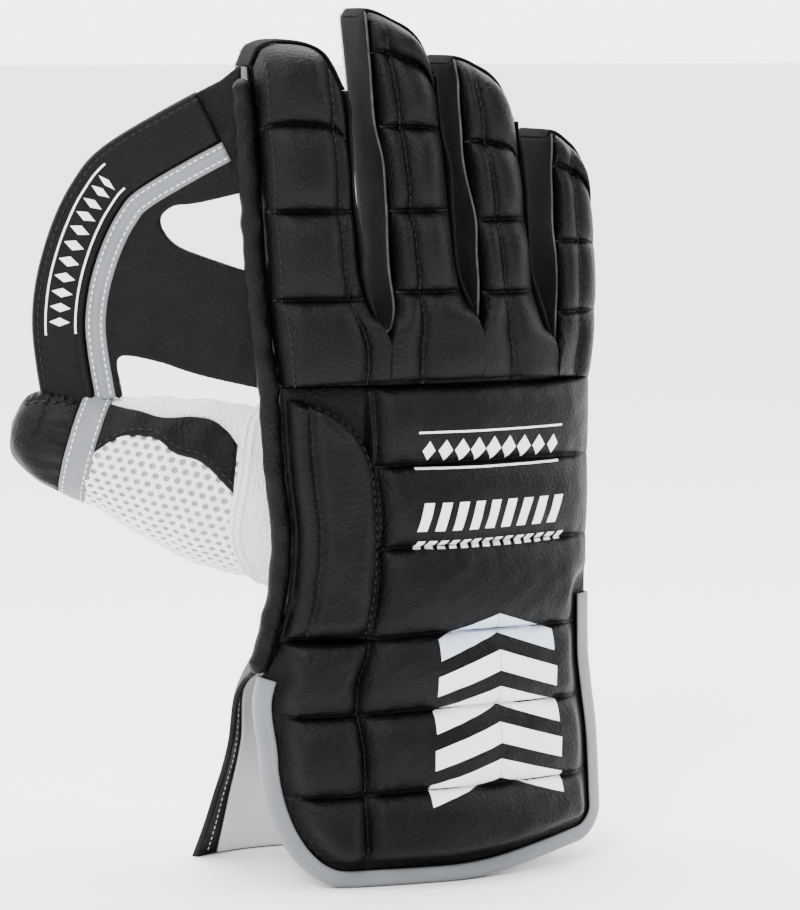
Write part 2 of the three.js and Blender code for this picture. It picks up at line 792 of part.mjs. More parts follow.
function sidePad() {
  const [from, to] = [sidePadFrom, sidePadTo].map((h) => h * handHeight);
  const shoulder = to - sidePadCorner;
  const rows = [
    ...spread(from + sidePadClear, shoulder, 4),
    ...[0.4, 0.7, 0.9].map((t) => shoulder + sidePadCorner * t),
  ];
  const across = [0, 0.12, 0.4, 0.7, 0.9, 1];
  const low = [];
  const high = [];
  rows.forEach((z, r) => {
    const left = mix(panelEdge("left", z), panelEdge("right", z), 0.012);
    const right = mix(
      panelEdge("left", z),
      panelEdge("right", z),
      Math.max(0.05, sidePadEdge(z) - 0.045),
    );
    const along = share(r, 0, rows.length - 1);
    const place = across.map((t) => mix(left, right, t));
    const lift = (t) =>
      sidePadRise * mix(0.35, 1, crown(t) * Math.sqrt(Math.sin(Math.PI * mix(0.06, 0.94, along))));
    low.push(place.map((x) => backPoint(x, seatY - sidePadSeat - gap, z)));
    high.push(
      place.map((x, k) => backPoint(x, seatY - sidePadSeat - gap - lift(across[k]), z)),
    );
  });
  add("side_pad", "black_leather", sheet(high, low));
}

// Stations round the back panel's free edge, from the thumb-side slit round the hem to the other slit.
function hemStations(beyond) {
  const at = (t, z) => new THREE.Vector2(mix(panelEdge("left", z), panelEdge("right", z), t), z);
  const hemAt = (t) => {
    let z = hemFloor;
    for (let k = 0; k < 12; k++) z = hem(at(t, z).x);
    return at(t, z);
  };
  const leftFoot = hemAt(0).y;
  const rightFoot = hemAt(1).y;
  const points = [
    ...spread(thumbSlitTop + beyond, leftFoot, 4).slice(0, -1).map((z) => at(0, z)),
    ...panelColumns.map(hemAt),
    ...spread(rightFoot, littleSlitTop + beyond, 8).slice(1).map((z) => at(1, z)),
  ];
  return points.map((p, k) => {
    const a = points[Math.max(0, k - 1)];
    const b = points[Math.min(points.length - 1, k + 1)];
    const before = p.clone().sub(a).normalize();
    const after = b.clone().sub(p).normalize();
    const way = before.add(after).normalize();
    return { x: p.x, z: p.y, nx: way.y, nz: -way.x };
  });
}

// The grey tape folded over that edge, or the space that its front lip needs.
function bindingSweep(space) {
  const front = seatY - marginThickness;
  const [g, t, lip] = [bindingSlack, bindingWall, bindingLip];
  const profiles = space
    ? [
        [
          [-lip - g, front - 2 * backThickness],
          [bindingReach, front - 2 * backThickness],
        ],
        [
          [-lip - g, front],
          [bindingReach, front],
        ],
      ]
    : [
        [
          [-lip, front - g - t],
          [g + t, front - g - t],
          [g + t, seatY + g + t],
          [-lip, seatY + g + t],
        ],
        [
          [-lip, front - g],
          [g, front - g],
          [g, seatY + g],
          [-lip, seatY + g],
        ],
      ];
  const stations = hemStations(space ? 3 * gap : 0);
  const grids = profiles.map((profile) =>
    stations.map((s) =>
      profile.map(([out, y]) =>
        backPoint(s.x + s.nx * out, y, s.z + s.nz * out),
      ),
    ),
  );
  return sheet(grids[0], grids[1]);
}

function edgeRoll() {
  const path = spread(thumbSlitTop + 2, rollTop, 12).map((z) => {
    const edge =
      z < handHeight
        ? panelEdge("left", z)
        : fingerEdge(0, "left", z) + leather + gap;
    return backPoint(edge - 2 * gap - rollRadius, seatY - rollRadius - gap, z);
  });
  const round = new THREE.Shape().absarc(0, 0, rollRadius, 0, 2 * Math.PI);
  const geometry = new THREE.ExtrudeGeometry(round, {
    steps: 26,
    curveSegments: 4,
    bevelEnabled: false,
    extrudePath: new THREE.CatmullRomCurve3(path),
  });
  add("edge_roll", "black_leather", toGeometry(toSolid(geometry)));
}

// The web lies in one upright plane that turns from the index finger towards the thumb.
const webOut = new THREE.Vector3(
  -Math.cos(radians(webTurn)),
  Math.sin(radians(webTurn)),
  0,
);
const webUp = new THREE.Vector3(0, 0, 1);
const webBack = new THREE.Vector3().crossVectors(webOut, webUp);
const webFoot = webTop - webHeight;
const webPoint = (row) =>
  new THREE.Vector2(row.out * webSpan, webFoot + row.up * webHeight);

// Where the index finger's side stands, measured along the web, for a layer that reaches a depth off its plane.
function webWall(z, depth) {
  const outline = z < handHeight ? handEdge("left", z) : fingerEdge(0, "left", z);
  const edge = outline * (1 - sideTaper * webDepth);
  const turned = depth * Math.sin(radians(webTurn));
  return (webStart.x - edge + gap + turned) / Math.cos(radians(webTurn));
}

function webSolid(shape, from, thickness) {
  const geometry = new THREE.ExtrudeGeometry(shape, {
    depth: thickness,
    bevelEnabled: false,
    curveSegments: 3,
  });
  const frame = new THREE.Matrix4().makeBasis(webOut, webUp, webBack);
  frame.setPosition(webStart.clone().addScaledVector(webBack, from));
  geometry.applyMatrix4(frame);
  // The thumb's cap and band stand in the web's foot, with the usual gap.
  const places = [...spread(0.1, bandTo, 6), ...tipSections];
  return cut(geometry, thumbCore(places, 2 * gap + bandRelief));
}

// A curve beside the web's edge, moved in by an offset.
function webCurve(inset, steps = 20) {
  const curve = new THREE.SplineCurve(webEdge.map(webPoint));
  return spread(0, 1, steps).map((t) => {
    const way = curve.getTangent(t);
    return curve.getPoint(t).add(new THREE.Vector2(way.y, -way.x).multiplyScalar(inset));
  });
}

// A strip between two curves, starting beside the index finger's wall.
const ribbon = (a, b) => {
  const beyond = (line) => {
    const room = (p) => p.x - webWall(p.y, webThickness / 2 + gap + bandThickness);
    const i = Math.max(1, line.findIndex((p) => room(p) > 0));
    const t = room(line[i - 1]) / (room(line[i - 1]) - room(line[i]));
    return [line[i - 1].clone().lerp(line[i], share(t)), ...line.slice(i)];
  };
  return new THREE.Shape([...beyond(a), ...beyond(b).reverse()]);
};

function web() {
  const panel = new THREE.Shape();
  const edge = webCurve(0);
  const wallAt = (z) => webWall(z, webThickness / 2);
  const start = new THREE.Vector2(wallAt(edge[0].y), edge[0].y);
  panel.moveTo(start.x, start.y);
  edge.filter((p) => p.x > start.x + 1).forEach((p) => panel.lineTo(p.x, p.y));
  let foot = start.y;
  for (const rows of [lowerOpening, upperOpening]) {
    const points = rows.map(webPoint);
    points.at(-1).x = wallAt(points.at(-1).y);
    if (rows === upperOpening) {
      points[0].x = wallAt(points[0].y);
      spread(foot, points[0].y, 3).slice(1, -1).forEach((z) => panel.lineTo(wallAt(z), z));
    }
    panel.lineTo(points[0].x, points[0].y);
    panel.splineThru(points.slice(1));
    foot = points.at(-1).y;
  }
  spread(foot, start.y, 4).slice(1, -1).forEach((z) => panel.lineTo(wallAt(z), z));
  add("web_panel", "black_leather", webSolid(panel, -webThickness / 2, webThickness));
  const face = -webThickness / 2 - gap;
  add(
    "web_band",
    "black_leather",
    webSolid(ribbon(webCurve(0), webCurve(bandWidth)), face - bandThickness, bandThickness),
  );
  add(
    "web_strip",
    "grey_tape",
    webSolid(
      ribbon(webCurve(bandWidth + gap), webCurve(bandWidth + gap + stripWidth)),
      face - stripThickness,
      stripThickness,
    ),
  );
}

backPanel();
sidePad();
fingers.forEach((_, i) => fingerPad(i));
fingerWalls();
fingers.forEach((_, i) => fingerFace(i));
palmSide();
cuffBack();
add("cuff_binding", "grey_tape", bindingSweep(false));
edgeRoll();
web();
thumb();

// The origin is on the floor, under the middle of the glove's box.
const box = new THREE.Box3().setFromObject(pieces);
const middle = box.getCenter(new THREE.Vector3());
pieces.position.set(-middle.x, -middle.y, -box.min.z);
const glove = new THREE.Group();
glove.add(pieces);

export default glove;
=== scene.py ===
"""Looks of a right-hand wicketkeeping glove: quilted black leather, white rubber-faced palm, perforated thumb.

Lengths are in millimetres in the flat layout (x across, y to the palm, z up) and become metres when a mesh is made.
"""

import math

import bpy
import numpy as np
from mathutils import Matrix, Vector


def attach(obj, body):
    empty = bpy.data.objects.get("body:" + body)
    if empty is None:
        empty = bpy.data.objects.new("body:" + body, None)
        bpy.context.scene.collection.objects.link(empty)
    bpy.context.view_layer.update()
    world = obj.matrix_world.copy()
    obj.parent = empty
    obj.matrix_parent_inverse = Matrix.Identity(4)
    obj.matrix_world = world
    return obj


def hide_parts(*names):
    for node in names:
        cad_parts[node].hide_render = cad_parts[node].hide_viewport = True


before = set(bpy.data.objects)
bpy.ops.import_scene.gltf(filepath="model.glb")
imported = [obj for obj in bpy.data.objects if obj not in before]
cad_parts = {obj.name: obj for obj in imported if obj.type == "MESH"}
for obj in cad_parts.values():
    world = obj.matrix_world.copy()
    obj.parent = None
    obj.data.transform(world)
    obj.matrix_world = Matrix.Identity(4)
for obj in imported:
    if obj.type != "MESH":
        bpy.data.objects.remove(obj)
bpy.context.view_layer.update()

# The layout's origin in the glove's frame.
ORIGIN = np.array([38.876, -6.399, 0.0])

HALF_WIDTH = 68
HAND = 194
FINGER = 144
WRIST = 108
PALM_TOP = 200
SEAT = -18
HOLLOW = 34
TIP_LOSS = 9
PALM_Y = SEAT + HOLLOW
LEATHER = 1.6
PALM_WALL = 3
PAD_EDGE = 4
PAD_RISE = 10
FIN = 6
CROTCH_DEPTH = 3
FLARE = 27
BOW = (8, 19)
BEND = 12
HEM_FLOOR = 1.95

# Heights as shares of HAND, edges as shares of HALF_WIDTH.
HAND_HEIGHTS = (0, 0.26, 0.365, 0.42, 0.46, 0.53, 0.6, 0.71, 0.81, 0.93, 1)
HAND_LEFT = (-1.02, -1.02, -1.05, -1.02, -0.965, -0.91, -0.868, -0.847, -0.877, -0.903, -0.912)
HAND_RIGHT = (1.13, 1.11, 1.07, 1.05, 1.046, 1.045, 1.046, 1.054, 1.058, 1.063, 1.065)

# Each finger: edges at the base and at the tip, its top, its cross seams, its long seam at base and tip, its tip's shape.
FINGERS = (
    dict(name="index", base=(-0.985, -0.425), tip=(-1.03, -0.49), top=0.917,
         seams=(0.233, 0.465, 0.7), long=(0.8, 0.84), cap="square"),
    dict(name="middle", base=(-0.28, 0.14), tip=(-0.39, 0.02), top=1.0,
         seams=(0.25, 0.465, 0.688, 0.896), long=(0.36, 0.3), cap="slanted"),
    dict(name="ring", base=(0.235, 0.62), tip=(0.12, 0.51), top=0.875,
         seams=(0.243, 0.438, 0.653), long=(0.42, 0.34), cap="slanted"),
    dict(name="little", base=(0.757, 1.11), tip=(0.745, 1.06), top=0.674,
         seams=(0.18, 0.375, 0.59), long=(0.5, 0.5), cap="slanted"),
)
STRAIGHT = 0.35
CROTCHES = ((-0.3, 0.153), (0.249, 0.174), (0.757, 0.104))
TIP_DROP = 24
ACROSS = (0, 0.12, 0.45, 0.8, 1)
TIPS = {"square": (0.42, 0.1, 0, 0.2, 0.8), "slanted": (0.14, 0, 0.14, 0.46, 1.05)}
RIBS = (0.02, 0.184, 0.345, 0.497, 0.675, 0.84, 1)
COLUMN = 0.262

THUMB_BASE = np.array([-66.0, 7.0, 151.0])
THUMB_REACH = 97
THUMB_HALF = (34, 17)
THUMB_OUT = 22
THUMB_UP = 16
THUMB_PLACES = (-0.1, 0, 0.19, 0.39, 0.61, 0.74, 0.84, 0.92, 0.975, 1)
THUMB_HEIGHTS = (0.93, 0.96, 0.93, 0.81, 0.64, 0.585, 0.55, 0.46, 0.29, 0)
THUMB_DEPTHS = (0.76, 0.8, 0.94, 1.0, 0.98, 0.95, 0.9, 0.76, 0.48, 0)

WEB_START = np.array([-68.0, 0.1, 0.0])
WEB_TURN = 25.8
WEB_SPAN = 84
WEB_TOP = 314
WEB_HEIGHT = 130
WEB_OUT = (-0.02, 0.383, 0.677, 0.811, 0.91, 0.981, 1.008, 0.99, 0.954)
WEB_UP = (1.02, 0.885, 0.77, 0.67, 0.545, 0.4, 0.26, 0.12, -0.02)


# Small mathematics.
def mix(a, b, t):
    return a + (b - a) * t


def share(x, a=0.0, b=1.0):
    return np.clip((np.asarray(x, float) - a) / (b - a), 0, 1)


def smooth(x, a=0.0, b=1.0):
    t = share(x, a, b)
    return t * t * (3 - 2 * t)


def table(keys, values):
    """A smooth curve through a table's rows."""
    keys, values = np.array(keys, float), np.array(values, float)
    low, high = np.maximum(np.arange(len(keys)) - 1, 0), np.minimum(np.arange(len(keys)) + 1, len(keys) - 1)
    slopes = (values[high] - values[low]) / (keys[high] - keys[low])

    def read(x):
        x = np.clip(np.asarray(x, float), keys[0], keys[-1])
        i = np.clip(np.searchsorted(keys, x) - 1, 0, len(keys) - 2)
        span = keys[i + 1] - keys[i]
        t = (x - keys[i]) / span
        return (
            (2 * t**3 - 3 * t**2 + 1) * values[i]
            + (t**3 - 2 * t**2 + t) * slopes[i] * span
            + (3 * t**2 - 2 * t**3) * values[i + 1]
            + (t**3 - t**2) * slopes[i + 1] * span
        )

    return read


def ripple(x, z, size, seed):
    """Soft irregular waves of about that size, from -1 to 1."""
    rng = np.random.default_rng(seed)
    total = 0
    for _ in range(7):
        angle, phase = rng.uniform(0, 2 * math.pi, 2)
        wave = 2 * math.pi / (size * rng.uniform(0.7, 1.6))
        total = total + np.sin((x * math.cos(angle) + z * math.sin(angle)) * wave + phase)
    return total / 4.2


def graded(stops, step, fine=0.25):
    """Places from the first stop to the last, closer together beside each stop."""
    places = []
    for a, b in zip(stops[:-1], stops[1:]):
        n = max(3, int(math.ceil((b - a) / step)))
        t = np.arange(n) / n
        places.append(a + (b - a) * (t - (1 - fine) * np.sin(2 * math.pi * t) / (2 * math.pi)))
    return np.concatenate([*places, [stops[-1]]])


# The glove's outline.
left_of_hand = table(HAND_HEIGHTS, HAND_LEFT)
right_of_hand = table(HAND_HEIGHTS, HAND_RIGHT)
tip_drop = {k: table(ACROSS, v) for k, v in TIPS.items()}


def hand_edge(side, z):
    return HALF_WIDTH * (left_of_hand, right_of_hand)[side](share(z, 0, HAND))


def finger_edge(i, side, z):
    f = FINGERS[i]
    base, tip = f["base"][side], f["tip"][side]
    h = (np.asarray(z, float) - HAND) / FINGER
    straight = mix(base, tip, (h - STRAIGHT) / (f["top"] - STRAIGHT))
    k = i - 1 + side
    if 0 <= k < 3:
        x, height = CROTCHES[k]
        t = share(h, height, height + FLARE / FINGER)
        return HALF_WIDTH * mix(x, straight, np.sin(t * math.pi / 2) ** 0.8)
    t = share(h, 0, STRAIGHT)
    level = mix(base, tip, -STRAIGHT / (f["top"] - STRAIGHT))
    foot = hand_edge(side, HAND) / HALF_WIDTH
    return HALF_WIDTH * (straight + (foot - level) * (1 - t) ** 2)


def crotch_z(k):
    return HAND + FINGER * CROTCHES[k][1]


def knuckle(x):
    return HAND + 3 * (1 - (x / HALF_WIDTH) ** 2)


def tip_point(i, t, inset):
    f = FINGERS[i]
    peak = HAND + FINGER * f["top"]
    t = np.asarray(t, float)
    drop = lambda s: TIP_DROP * tip_drop[f["cap"]](share(s))
    height = peak - drop(t)
    left, right = finger_edge(i, 0, height), finger_edge(i, 1, height)
    before, after = share(t - 0.02), share(t + 0.02)
    slope = (drop(before) - drop(after)) / ((after - before) * (right - left))
    level = 1 / np.sqrt(1 + slope * slope)
    x = mix(left, right, t) + inset * slope * level
    kept = np.clip(x, left + inset, right - inset)
    return kept, height - inset * level + slope * (kept - x)


def finger_place(i, t, level, inset):
    """x and z of a finger's point: its share across and its height, squeezed under the tip."""
    peak = HAND + FINGER * FINGERS[i]["top"]
    start = peak - 2 * TIP_DROP
    top_x, top_z = tip_point(i, t, inset)
    rise = share(level, start, peak)
    z = np.where(level < start, level, mix(start, top_z, rise))
    left = lambda h: finger_edge(i, 0, h) + inset * (smooth(h, crotch_z(i - 1) - 6, crotch_z(i - 1)) if i else 1)
    right = lambda h: finger_edge(i, 1, h) - inset * (smooth(h, crotch_z(i) - 6, crotch_z(i)) if i < 3 else 1)
    at_top = share((top_x - left(top_z)) / (right(top_z) - left(top_z)))
    return mix(left(z), right(z), mix(t, at_top, rise)), z


def palm_inner(z):
    return PALM_Y - TIP_LOSS * share(z, PALM_TOP, HAND + FINGER)


def bow(x, y, z):
    """Bows flat-laid points into the glove's curve."""
    x, y, z = np.broadcast_arrays(np.asarray(x, float), np.asarray(y, float), np.asarray(z, float))
    side = np.where(x < 0, BOW[0], BOW[1])
    depth = share(y, SEAT - PAD_EDGE - PAD_RISE, PALM_Y + PALM_WALL + 30)
    fall = side * np.abs(x / HALF_WIDTH) ** 2.2
    lean = share(z, HAND, HAND + FINGER) ** 2
    narrow = 1 - 0.05 * share(y, SEAT - FIN, PALM_Y)
    return np.stack([x * narrow, y + fall * (1 - 0.75 * depth) + BEND * lean, z], -1)


def flare(z):
    return 8 * share(WRIST - z, 0, WRIST) ** 2


def hem(x):
    left = hand_edge(0, 0) + LEATHER + 0.35
    right = hand_edge(1, 0) - LEATHER - 0.35
    near = share(left + 30 - x, 0, 30)
    far = share(x - right + 12, 0, 12)
    climb = smooth(x, HALF_WIDTH * 0.05, right)
    return HEM_FLOOR + 50 * (1 - np.sqrt(1 - near**2)) + 13 * (1 - np.sqrt(1 - far**2)) + 8 * climb


# Colours and materials.
def colour(code, alpha=1.0):
    """An sRGB hex code as linear red, green, blue and alpha."""
    parts = [int(code[i : i + 2], 16) / 255 for i in (1, 3, 5)]
    return (*(c / 12.92 if c < 0.04045 else ((c + 0.055) / 1.055) ** 2.4 for c in parts), alpha)


def add(tree, kind, settings=None, **links):
    """Adds a node. Settings are properties or socket values; a link names a socket and gives an output socket."""
    n = tree.nodes.new(kind)
    for key, value in (settings or {}).items():
        if hasattr(n, key) and key not in n.inputs:
            setattr(n, key, value)
        else:
            n.inputs[key].default_value = value
    for key, source in links.items():
        key = key.replace("_", " ")
        tree.links.new(source, n.inputs[int(key) if key.isdigit() else key])
    return n


def material(name, base, dark, roughness, grain, relief, specular=0.5, sheen=0.0, blotch=22):
    """A surface with two near colours in blotches, and grain cells; grain, relief and blotch are in mm."""
    mat = bpy.data.materials.new(name)
    mat.use_nodes = True
    tree = mat.node_tree
    tree.nodes.clear()
    place = add(tree, "ShaderNodeTexCoord").outputs["Object"]
    cells = add(tree, "ShaderNodeTexVoronoi", {"Scale": 1000 / grain, "feature": "SMOOTH_F1"}, Vector=place)
    fine = add(tree, "ShaderNodeTexNoise", {"Scale": 2200 / grain, "Detail": 3.0}, Vector=place)
    broad = add(tree, "ShaderNodeTexNoise", {"Scale": 1000 / blotch, "Detail": 3.0}, Vector=place)
    tint = add(tree, "ShaderNodeMix", {"data_type": "RGBA"}, Factor=broad.outputs["Fac"])
    for s in tint.inputs:
        if s.type == "RGBA":
            s.default_value = colour(base if s.name == "A" else dark)
    height = add(tree, "ShaderNodeMath", {"operation": "MULTIPLY_ADD"})
    tree.links.new(cells.outputs["Distance"], height.inputs[0])
    height.inputs[1].default_value = 1.0
    tree.links.new(fine.outputs["Fac"], height.inputs[2])
    bump = add(tree, "ShaderNodeBump", {"Strength": 1.0, "Distance": relief / 1000}, Height=height.outputs[0])
    rough = add(tree, "ShaderNodeMapRange", {"To Min": roughness - 0.06, "To Max": roughness + 0.08})
    tree.links.new(broad.outputs["Fac"], rough.inputs["Value"])
    shade = add(tree, "ShaderNodeBsdfPrincipled", {"Specular IOR Level": specular, "Sheen Weight": sheen})
    tree.links.new([s for s in tint.outputs if s.type == "RGBA"][0], shade.inputs["Base Color"])
    tree.links.new(rough.outputs["Result"], shade.inputs["Roughness"])
    tree.links.new(bump.outputs["Normal"], shade.inputs["Normal"])
    out = add(tree, "ShaderNodeOutputMaterial")
    tree.links.new(shade.outputs["BSDF"], out.inputs["Surface"])
    return mat


# Black full-grain leather: small rounded cells break the soft highlights.
LEATHER_BLACK = material("black_grained_leather", "#060607", "#030303", 0.43, 1.3, 0.28, specular=0.12)
# The cut edge of the same leather, where its undyed core shows grey-violet.
RAW_EDGE = material("cut_leather_edge", "#55555a", "#0e0e0f", 0.85, 0.6, 0.12, specular=0.15, blotch=5)
# Brushed lining of the finger walls: dull olive-grey without a highlight.
SUEDE = material("brushed_finger_wall", "#171714", "#0a0a09", 0.92, 0.7, 0.15, specular=0.08, blotch=12)
# White rubber-faced palm leather: matt and slightly chalky.
PALM_WHITE = material("white_palm_facing", "#e9e8e4", "#d9d8d3", 0.72, 1.4, 0.25)
# White spacer mesh: soft threads, no shine.
MESH_WHITE = material("white_spacer_mesh", "#f3f3f1", "#e6e6e4", 0.85, 0.5, 0.08)
# The foam layer that shows through the mesh's holes.
MESH_GROUND = material("grey_foam_ground", "#b9bab9", "#a3a4a3", 0.9, 0.8, 0.1)
# Smooth grey tape with a slight sheen.
TAPE_GREY = material("smooth_grey_tape", "#7b7e82", "#63666a", 0.5, 0.7, 0.03, specular=0.3)
# Pale brushed lining cloth.
LINING = material("pale_lining_cloth", "#dcdcdb", "#d0d0cf", 0.9, 0.5, 0.06, sheen=0.3)
# Sewing threads.
THREAD_BLACK = material("black_thread", "#060607", "#040404", 0.5, 0.3, 0.02, specular=0.3)
THREAD_WHITE = material("white_thread", "#f2f2f0", "#e4e4e2", 0.6, 0.3, 0.02)
# Screen-printed white and pale blue.
PRINT_WHITE = material("white_print", "#f4f4f5", "#ececee", 0.45, 0.9, 0.03)
PRINT_BLUE = material("pale_blue_print", "#ccd6e8", "#c3cde0", 0.45, 0.9, 0.03)


# Meshes.
def put(name, points, faces, mats, nodes=(), which=None, flat=False):
    """Makes a piece from points in the layout's millimetres, facing outwards."""
    mesh = bpy.data.meshes.new(name)
    co = (np.asarray(points, float) + ORIGIN) / 1000
    mesh.from_pydata(co.tolist(), [], np.asarray(faces).tolist() if not isinstance(faces, list) else faces)
    for m in mats if isinstance(mats, (list, tuple)) else [mats]:
        mesh.materials.append(m)
    if which is not None:
        mesh.polygons.foreach_set("material_index", np.asarray(which, np.int32))
    mesh.polygons.foreach_set("use_smooth", np.full(len(mesh.polygons), not flat))
    mesh.update()
    obj = bpy.data.objects.new(name, mesh)
    bpy.context.collection.objects.link(obj)
    tidy(obj)
    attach(obj, "root")
    if nodes:
        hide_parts(*nodes)
    return obj


def tidy(obj):
    """Welds coincident points, drops empty faces and turns a closed mesh's faces outwards."""
    import bmesh

    bm = bmesh.new()
    bm.from_mesh(obj.data)
    bmesh.ops.remove_doubles(bm, verts=bm.verts, dist=2e-6)
    bmesh.ops.dissolve_degenerate(bm, edges=bm.edges, dist=1e-6)
    if bm.calc_volume(signed=True) < 0:
        bmesh.ops.reverse_faces(bm, faces=bm.faces)
    bm.to_mesh(obj.data)
    bm.free()
    obj.data.update()


def quads(rows, columns, offset=0, ring=False, flip=False):
    r, k = np.meshgrid(np.arange(rows - 1), np.arange(columns if ring else columns - 1), indexing="ij")
    a = r * columns + k
    b = r * columns + (k + 1) % columns
    q = np.stack([a, b, b + columns, a + columns], -1).reshape(-1, 4) + offset
    return q[:, ::-1] if flip else q


def slab(outer, inner, ring=False):
    """Points and faces of a sheet with thickness, and the number of its rim's first faces."""
    rows, columns = outer.shape[:2]
    n = rows * columns
    k = np.arange(columns if ring else columns - 1)
    nxt = (k + 1) % columns
    top = (rows - 1) * columns
    parts = [
        quads(rows, columns, 0, ring),
        quads(rows, columns, n, ring, flip=True),
        np.stack([nxt, k, n + k, n + nxt], -1),
        np.stack([top + k, top + nxt, n + top + nxt, n + top + k], -1),
    ]
    if not ring:
        r = np.arange(rows - 1) * columns
        parts.append(np.stack([r, r + columns, n + r + columns, n + r], -1))
        c = r + columns - 1
        parts.append(np.stack([c + columns, c, n + c, n + c + columns], -1))
    counts = [len(p) for p in parts]
    return np.concatenate([outer.reshape(-1, 3), inner.reshape(-1, 3)]), np.concatenate(parts), counts


threads = {"black": [], "white": []}


def sew(kind, points):
    threads[kind].append(np.asarray(points, float))


# Quilted surfaces.
def pillow(t):
    """A stuffed cell's height from seam to seam."""
    return (1 - np.abs(2 * share(t) - 1) ** 2.5) ** 0.62


def edge_fall(d, width):
    return (1 - (1 - share(d, 0, width)) ** 2.3) ** 0.6


def quilt(x, level, seams, seed, valley=0.45):
    """Ribs between level seams: the height as a share, and the crease and puckers in mm."""
    seams = np.asarray(seams, float)
    k = np.clip(np.searchsorted(seams, level, side="right") - 1, 0, len(seams) - 2)
    t = (level - seams[k]) / (seams[k + 1] - seams[k])
    near = np.minimum(np.abs(level - seams[k]), np.abs(seams[k + 1] - level))
    phase = np.where(t < 0.5, k, k + 1) * 2.1 + seed
    wobble = ripple(x, level, 22, seed + 5)
    pucker = 0.42 * np.sin(x * 2 * math.pi / 7.5 + phase + 2.5 * wobble) * np.exp(-near / 4.5) * share(near, 0, 1.2)
    crease = -1.1 * np.exp(-((near / 1.0) ** 2))
    return mix(valley, 1, pillow(t)), crease + pucker


def finger_surface(i, t, level, lift=0.0):
    f = FINGERS[i]
    inset = LEATHER + 0.45
    peak = HAND + FINGER * f["top"]
    t, level = np.broadcast_arrays(np.asarray(t, float), np.asarray(level, float))
    x, z = finger_place(i, t, level, inset)
    z = np.where(level < HAND + 12, mix(knuckle(x) - 0.05, z, share(level, HAND, HAND + 12)), z)
    seams = [HAND, *(HAND + FINGER * s for s in f["seams"]), peak]
    height, fine = quilt(x, level, seams, i * 3 + 1)
    joined = lambda k: 30 * (1 - smooth(z, crotch_z(k) - 8, crotch_z(k) + 6)) if 0 <= k < 3 else 0
    width = finger_edge(i, 1, z) - finger_edge(i, 0, z) - 2 * inset
    to_left = x - finger_edge(i, 0, z) - inset + joined(i - 1)
    to_right = finger_edge(i, 1, z) - inset - x + joined(i)
    reach = np.minimum(11, 0.45 * width)
    height = height * edge_fall(to_left, reach) * edge_fall(to_right, reach)
    height = height * edge_fall(peak - level + 0.4, 7)
    long = mix(f["long"][0], f["long"][1], share(level, HAND, peak))
    off = np.abs(t - long) * width
    height = height * (1 - 0.34 * np.exp(-((off / 3.6) ** 1.4)))
    fine = fine - 0.8 * np.exp(-((off / 0.9) ** 2)) + 0.5 * ripple(x, z, 19, i + 11)
    fine = fine * np.minimum(1, height * 2.2)
    y = SEAT - PAD_EDGE - PAD_RISE * 1.12 * height - fine - lift
    return bow(x, y, z)


def finger_pads():
    points, faces, start = [], [], 0
    for i, f in enumerate(FINGERS):
        peak = HAND + FINGER * f["top"]
        seams = [HAND, *(HAND + FINGER * s for s in f["seams"]), peak]
        levels = graded(seams, 1.5)
        long = sum(f["long"]) / 2
        width = 68 * (f["base"][1] - f["base"][0])
        across = graded([0, long * width, width], 1.25) / width
        level, t = np.meshgrid(levels, across, indexing="ij")
        front = finger_surface(i, t, level)
        x, z = finger_place(i, t, level, LEATHER + 0.45)
        z = np.where(level < HAND + 12, mix(knuckle(x) - 0.05, z, share(level, HAND, HAND + 12)), z)
        p, q, _ = slab(front, bow(x, SEAT, z))
        points.append(p)
        faces.append(q + start)
        start += len(p)
        for s in seams[:-1]:
            a = np.linspace(0.04, 0.96, 60)
            sew("black", finger_surface(i, a, np.full(60, s), 0.05))
        b = np.linspace(HAND + 2, peak - 6, 160)
        sew("black", finger_surface(i, mix(*f["long"], share(b, HAND, peak)), b, 0.05))
        if i == 0:
            sew("black", finger_surface(0, np.full(160, 0.1), b, 0.05))
    obj = put("finger_pads", np.concatenate(points), np.concatenate(faces), LEATHER_BLACK,
              [f["name"] + "_back" for f in FINGERS])


def panel_edge(side, z):
    return hand_edge(side, z) + (LEATHER + 0.35) * (1 - 2 * side)


def hem_distance(x, z):
    """Distance from the cuff's free edge, in the flat layout."""
    t = np.linspace(0, 1, 160)
    line_x = mix(panel_edge(0, 20.0), panel_edge(1, 20.0), t)
    line = np.stack([line_x, hem(line_x)], -1)
    left = np.stack([panel_edge(0, np.linspace(48, 84, 30)), np.linspace(48, 84, 30)], -1)
    right = np.stack([panel_edge(1, np.linspace(20, 108, 60)), np.linspace(20, 108, 60)], -1)
    line = np.concatenate([left[::-1], line, right])
    shape = np.shape(x)
    p = np.stack([np.ravel(x), np.ravel(z)], -1)
    best = np.full(len(p), 1e9)
    for a in range(0, len(line), 25):
        d = np.linalg.norm(p[:, None] - line[None, a : a + 25], axis=2).min(1)
        best = np.minimum(best, d)
    return best.reshape(shape)


def panel_place(t, level):
    z = np.asarray(level, float)
    for _ in range(8):
        x = mix(panel_edge(0, z), panel_edge(1, z), t)
        z = np.maximum(level, hem(x) + 0.3)
    return x, np.minimum(z, knuckle(x) + 0.1)


RIB_LEVELS = [r * HAND for r in RIBS]


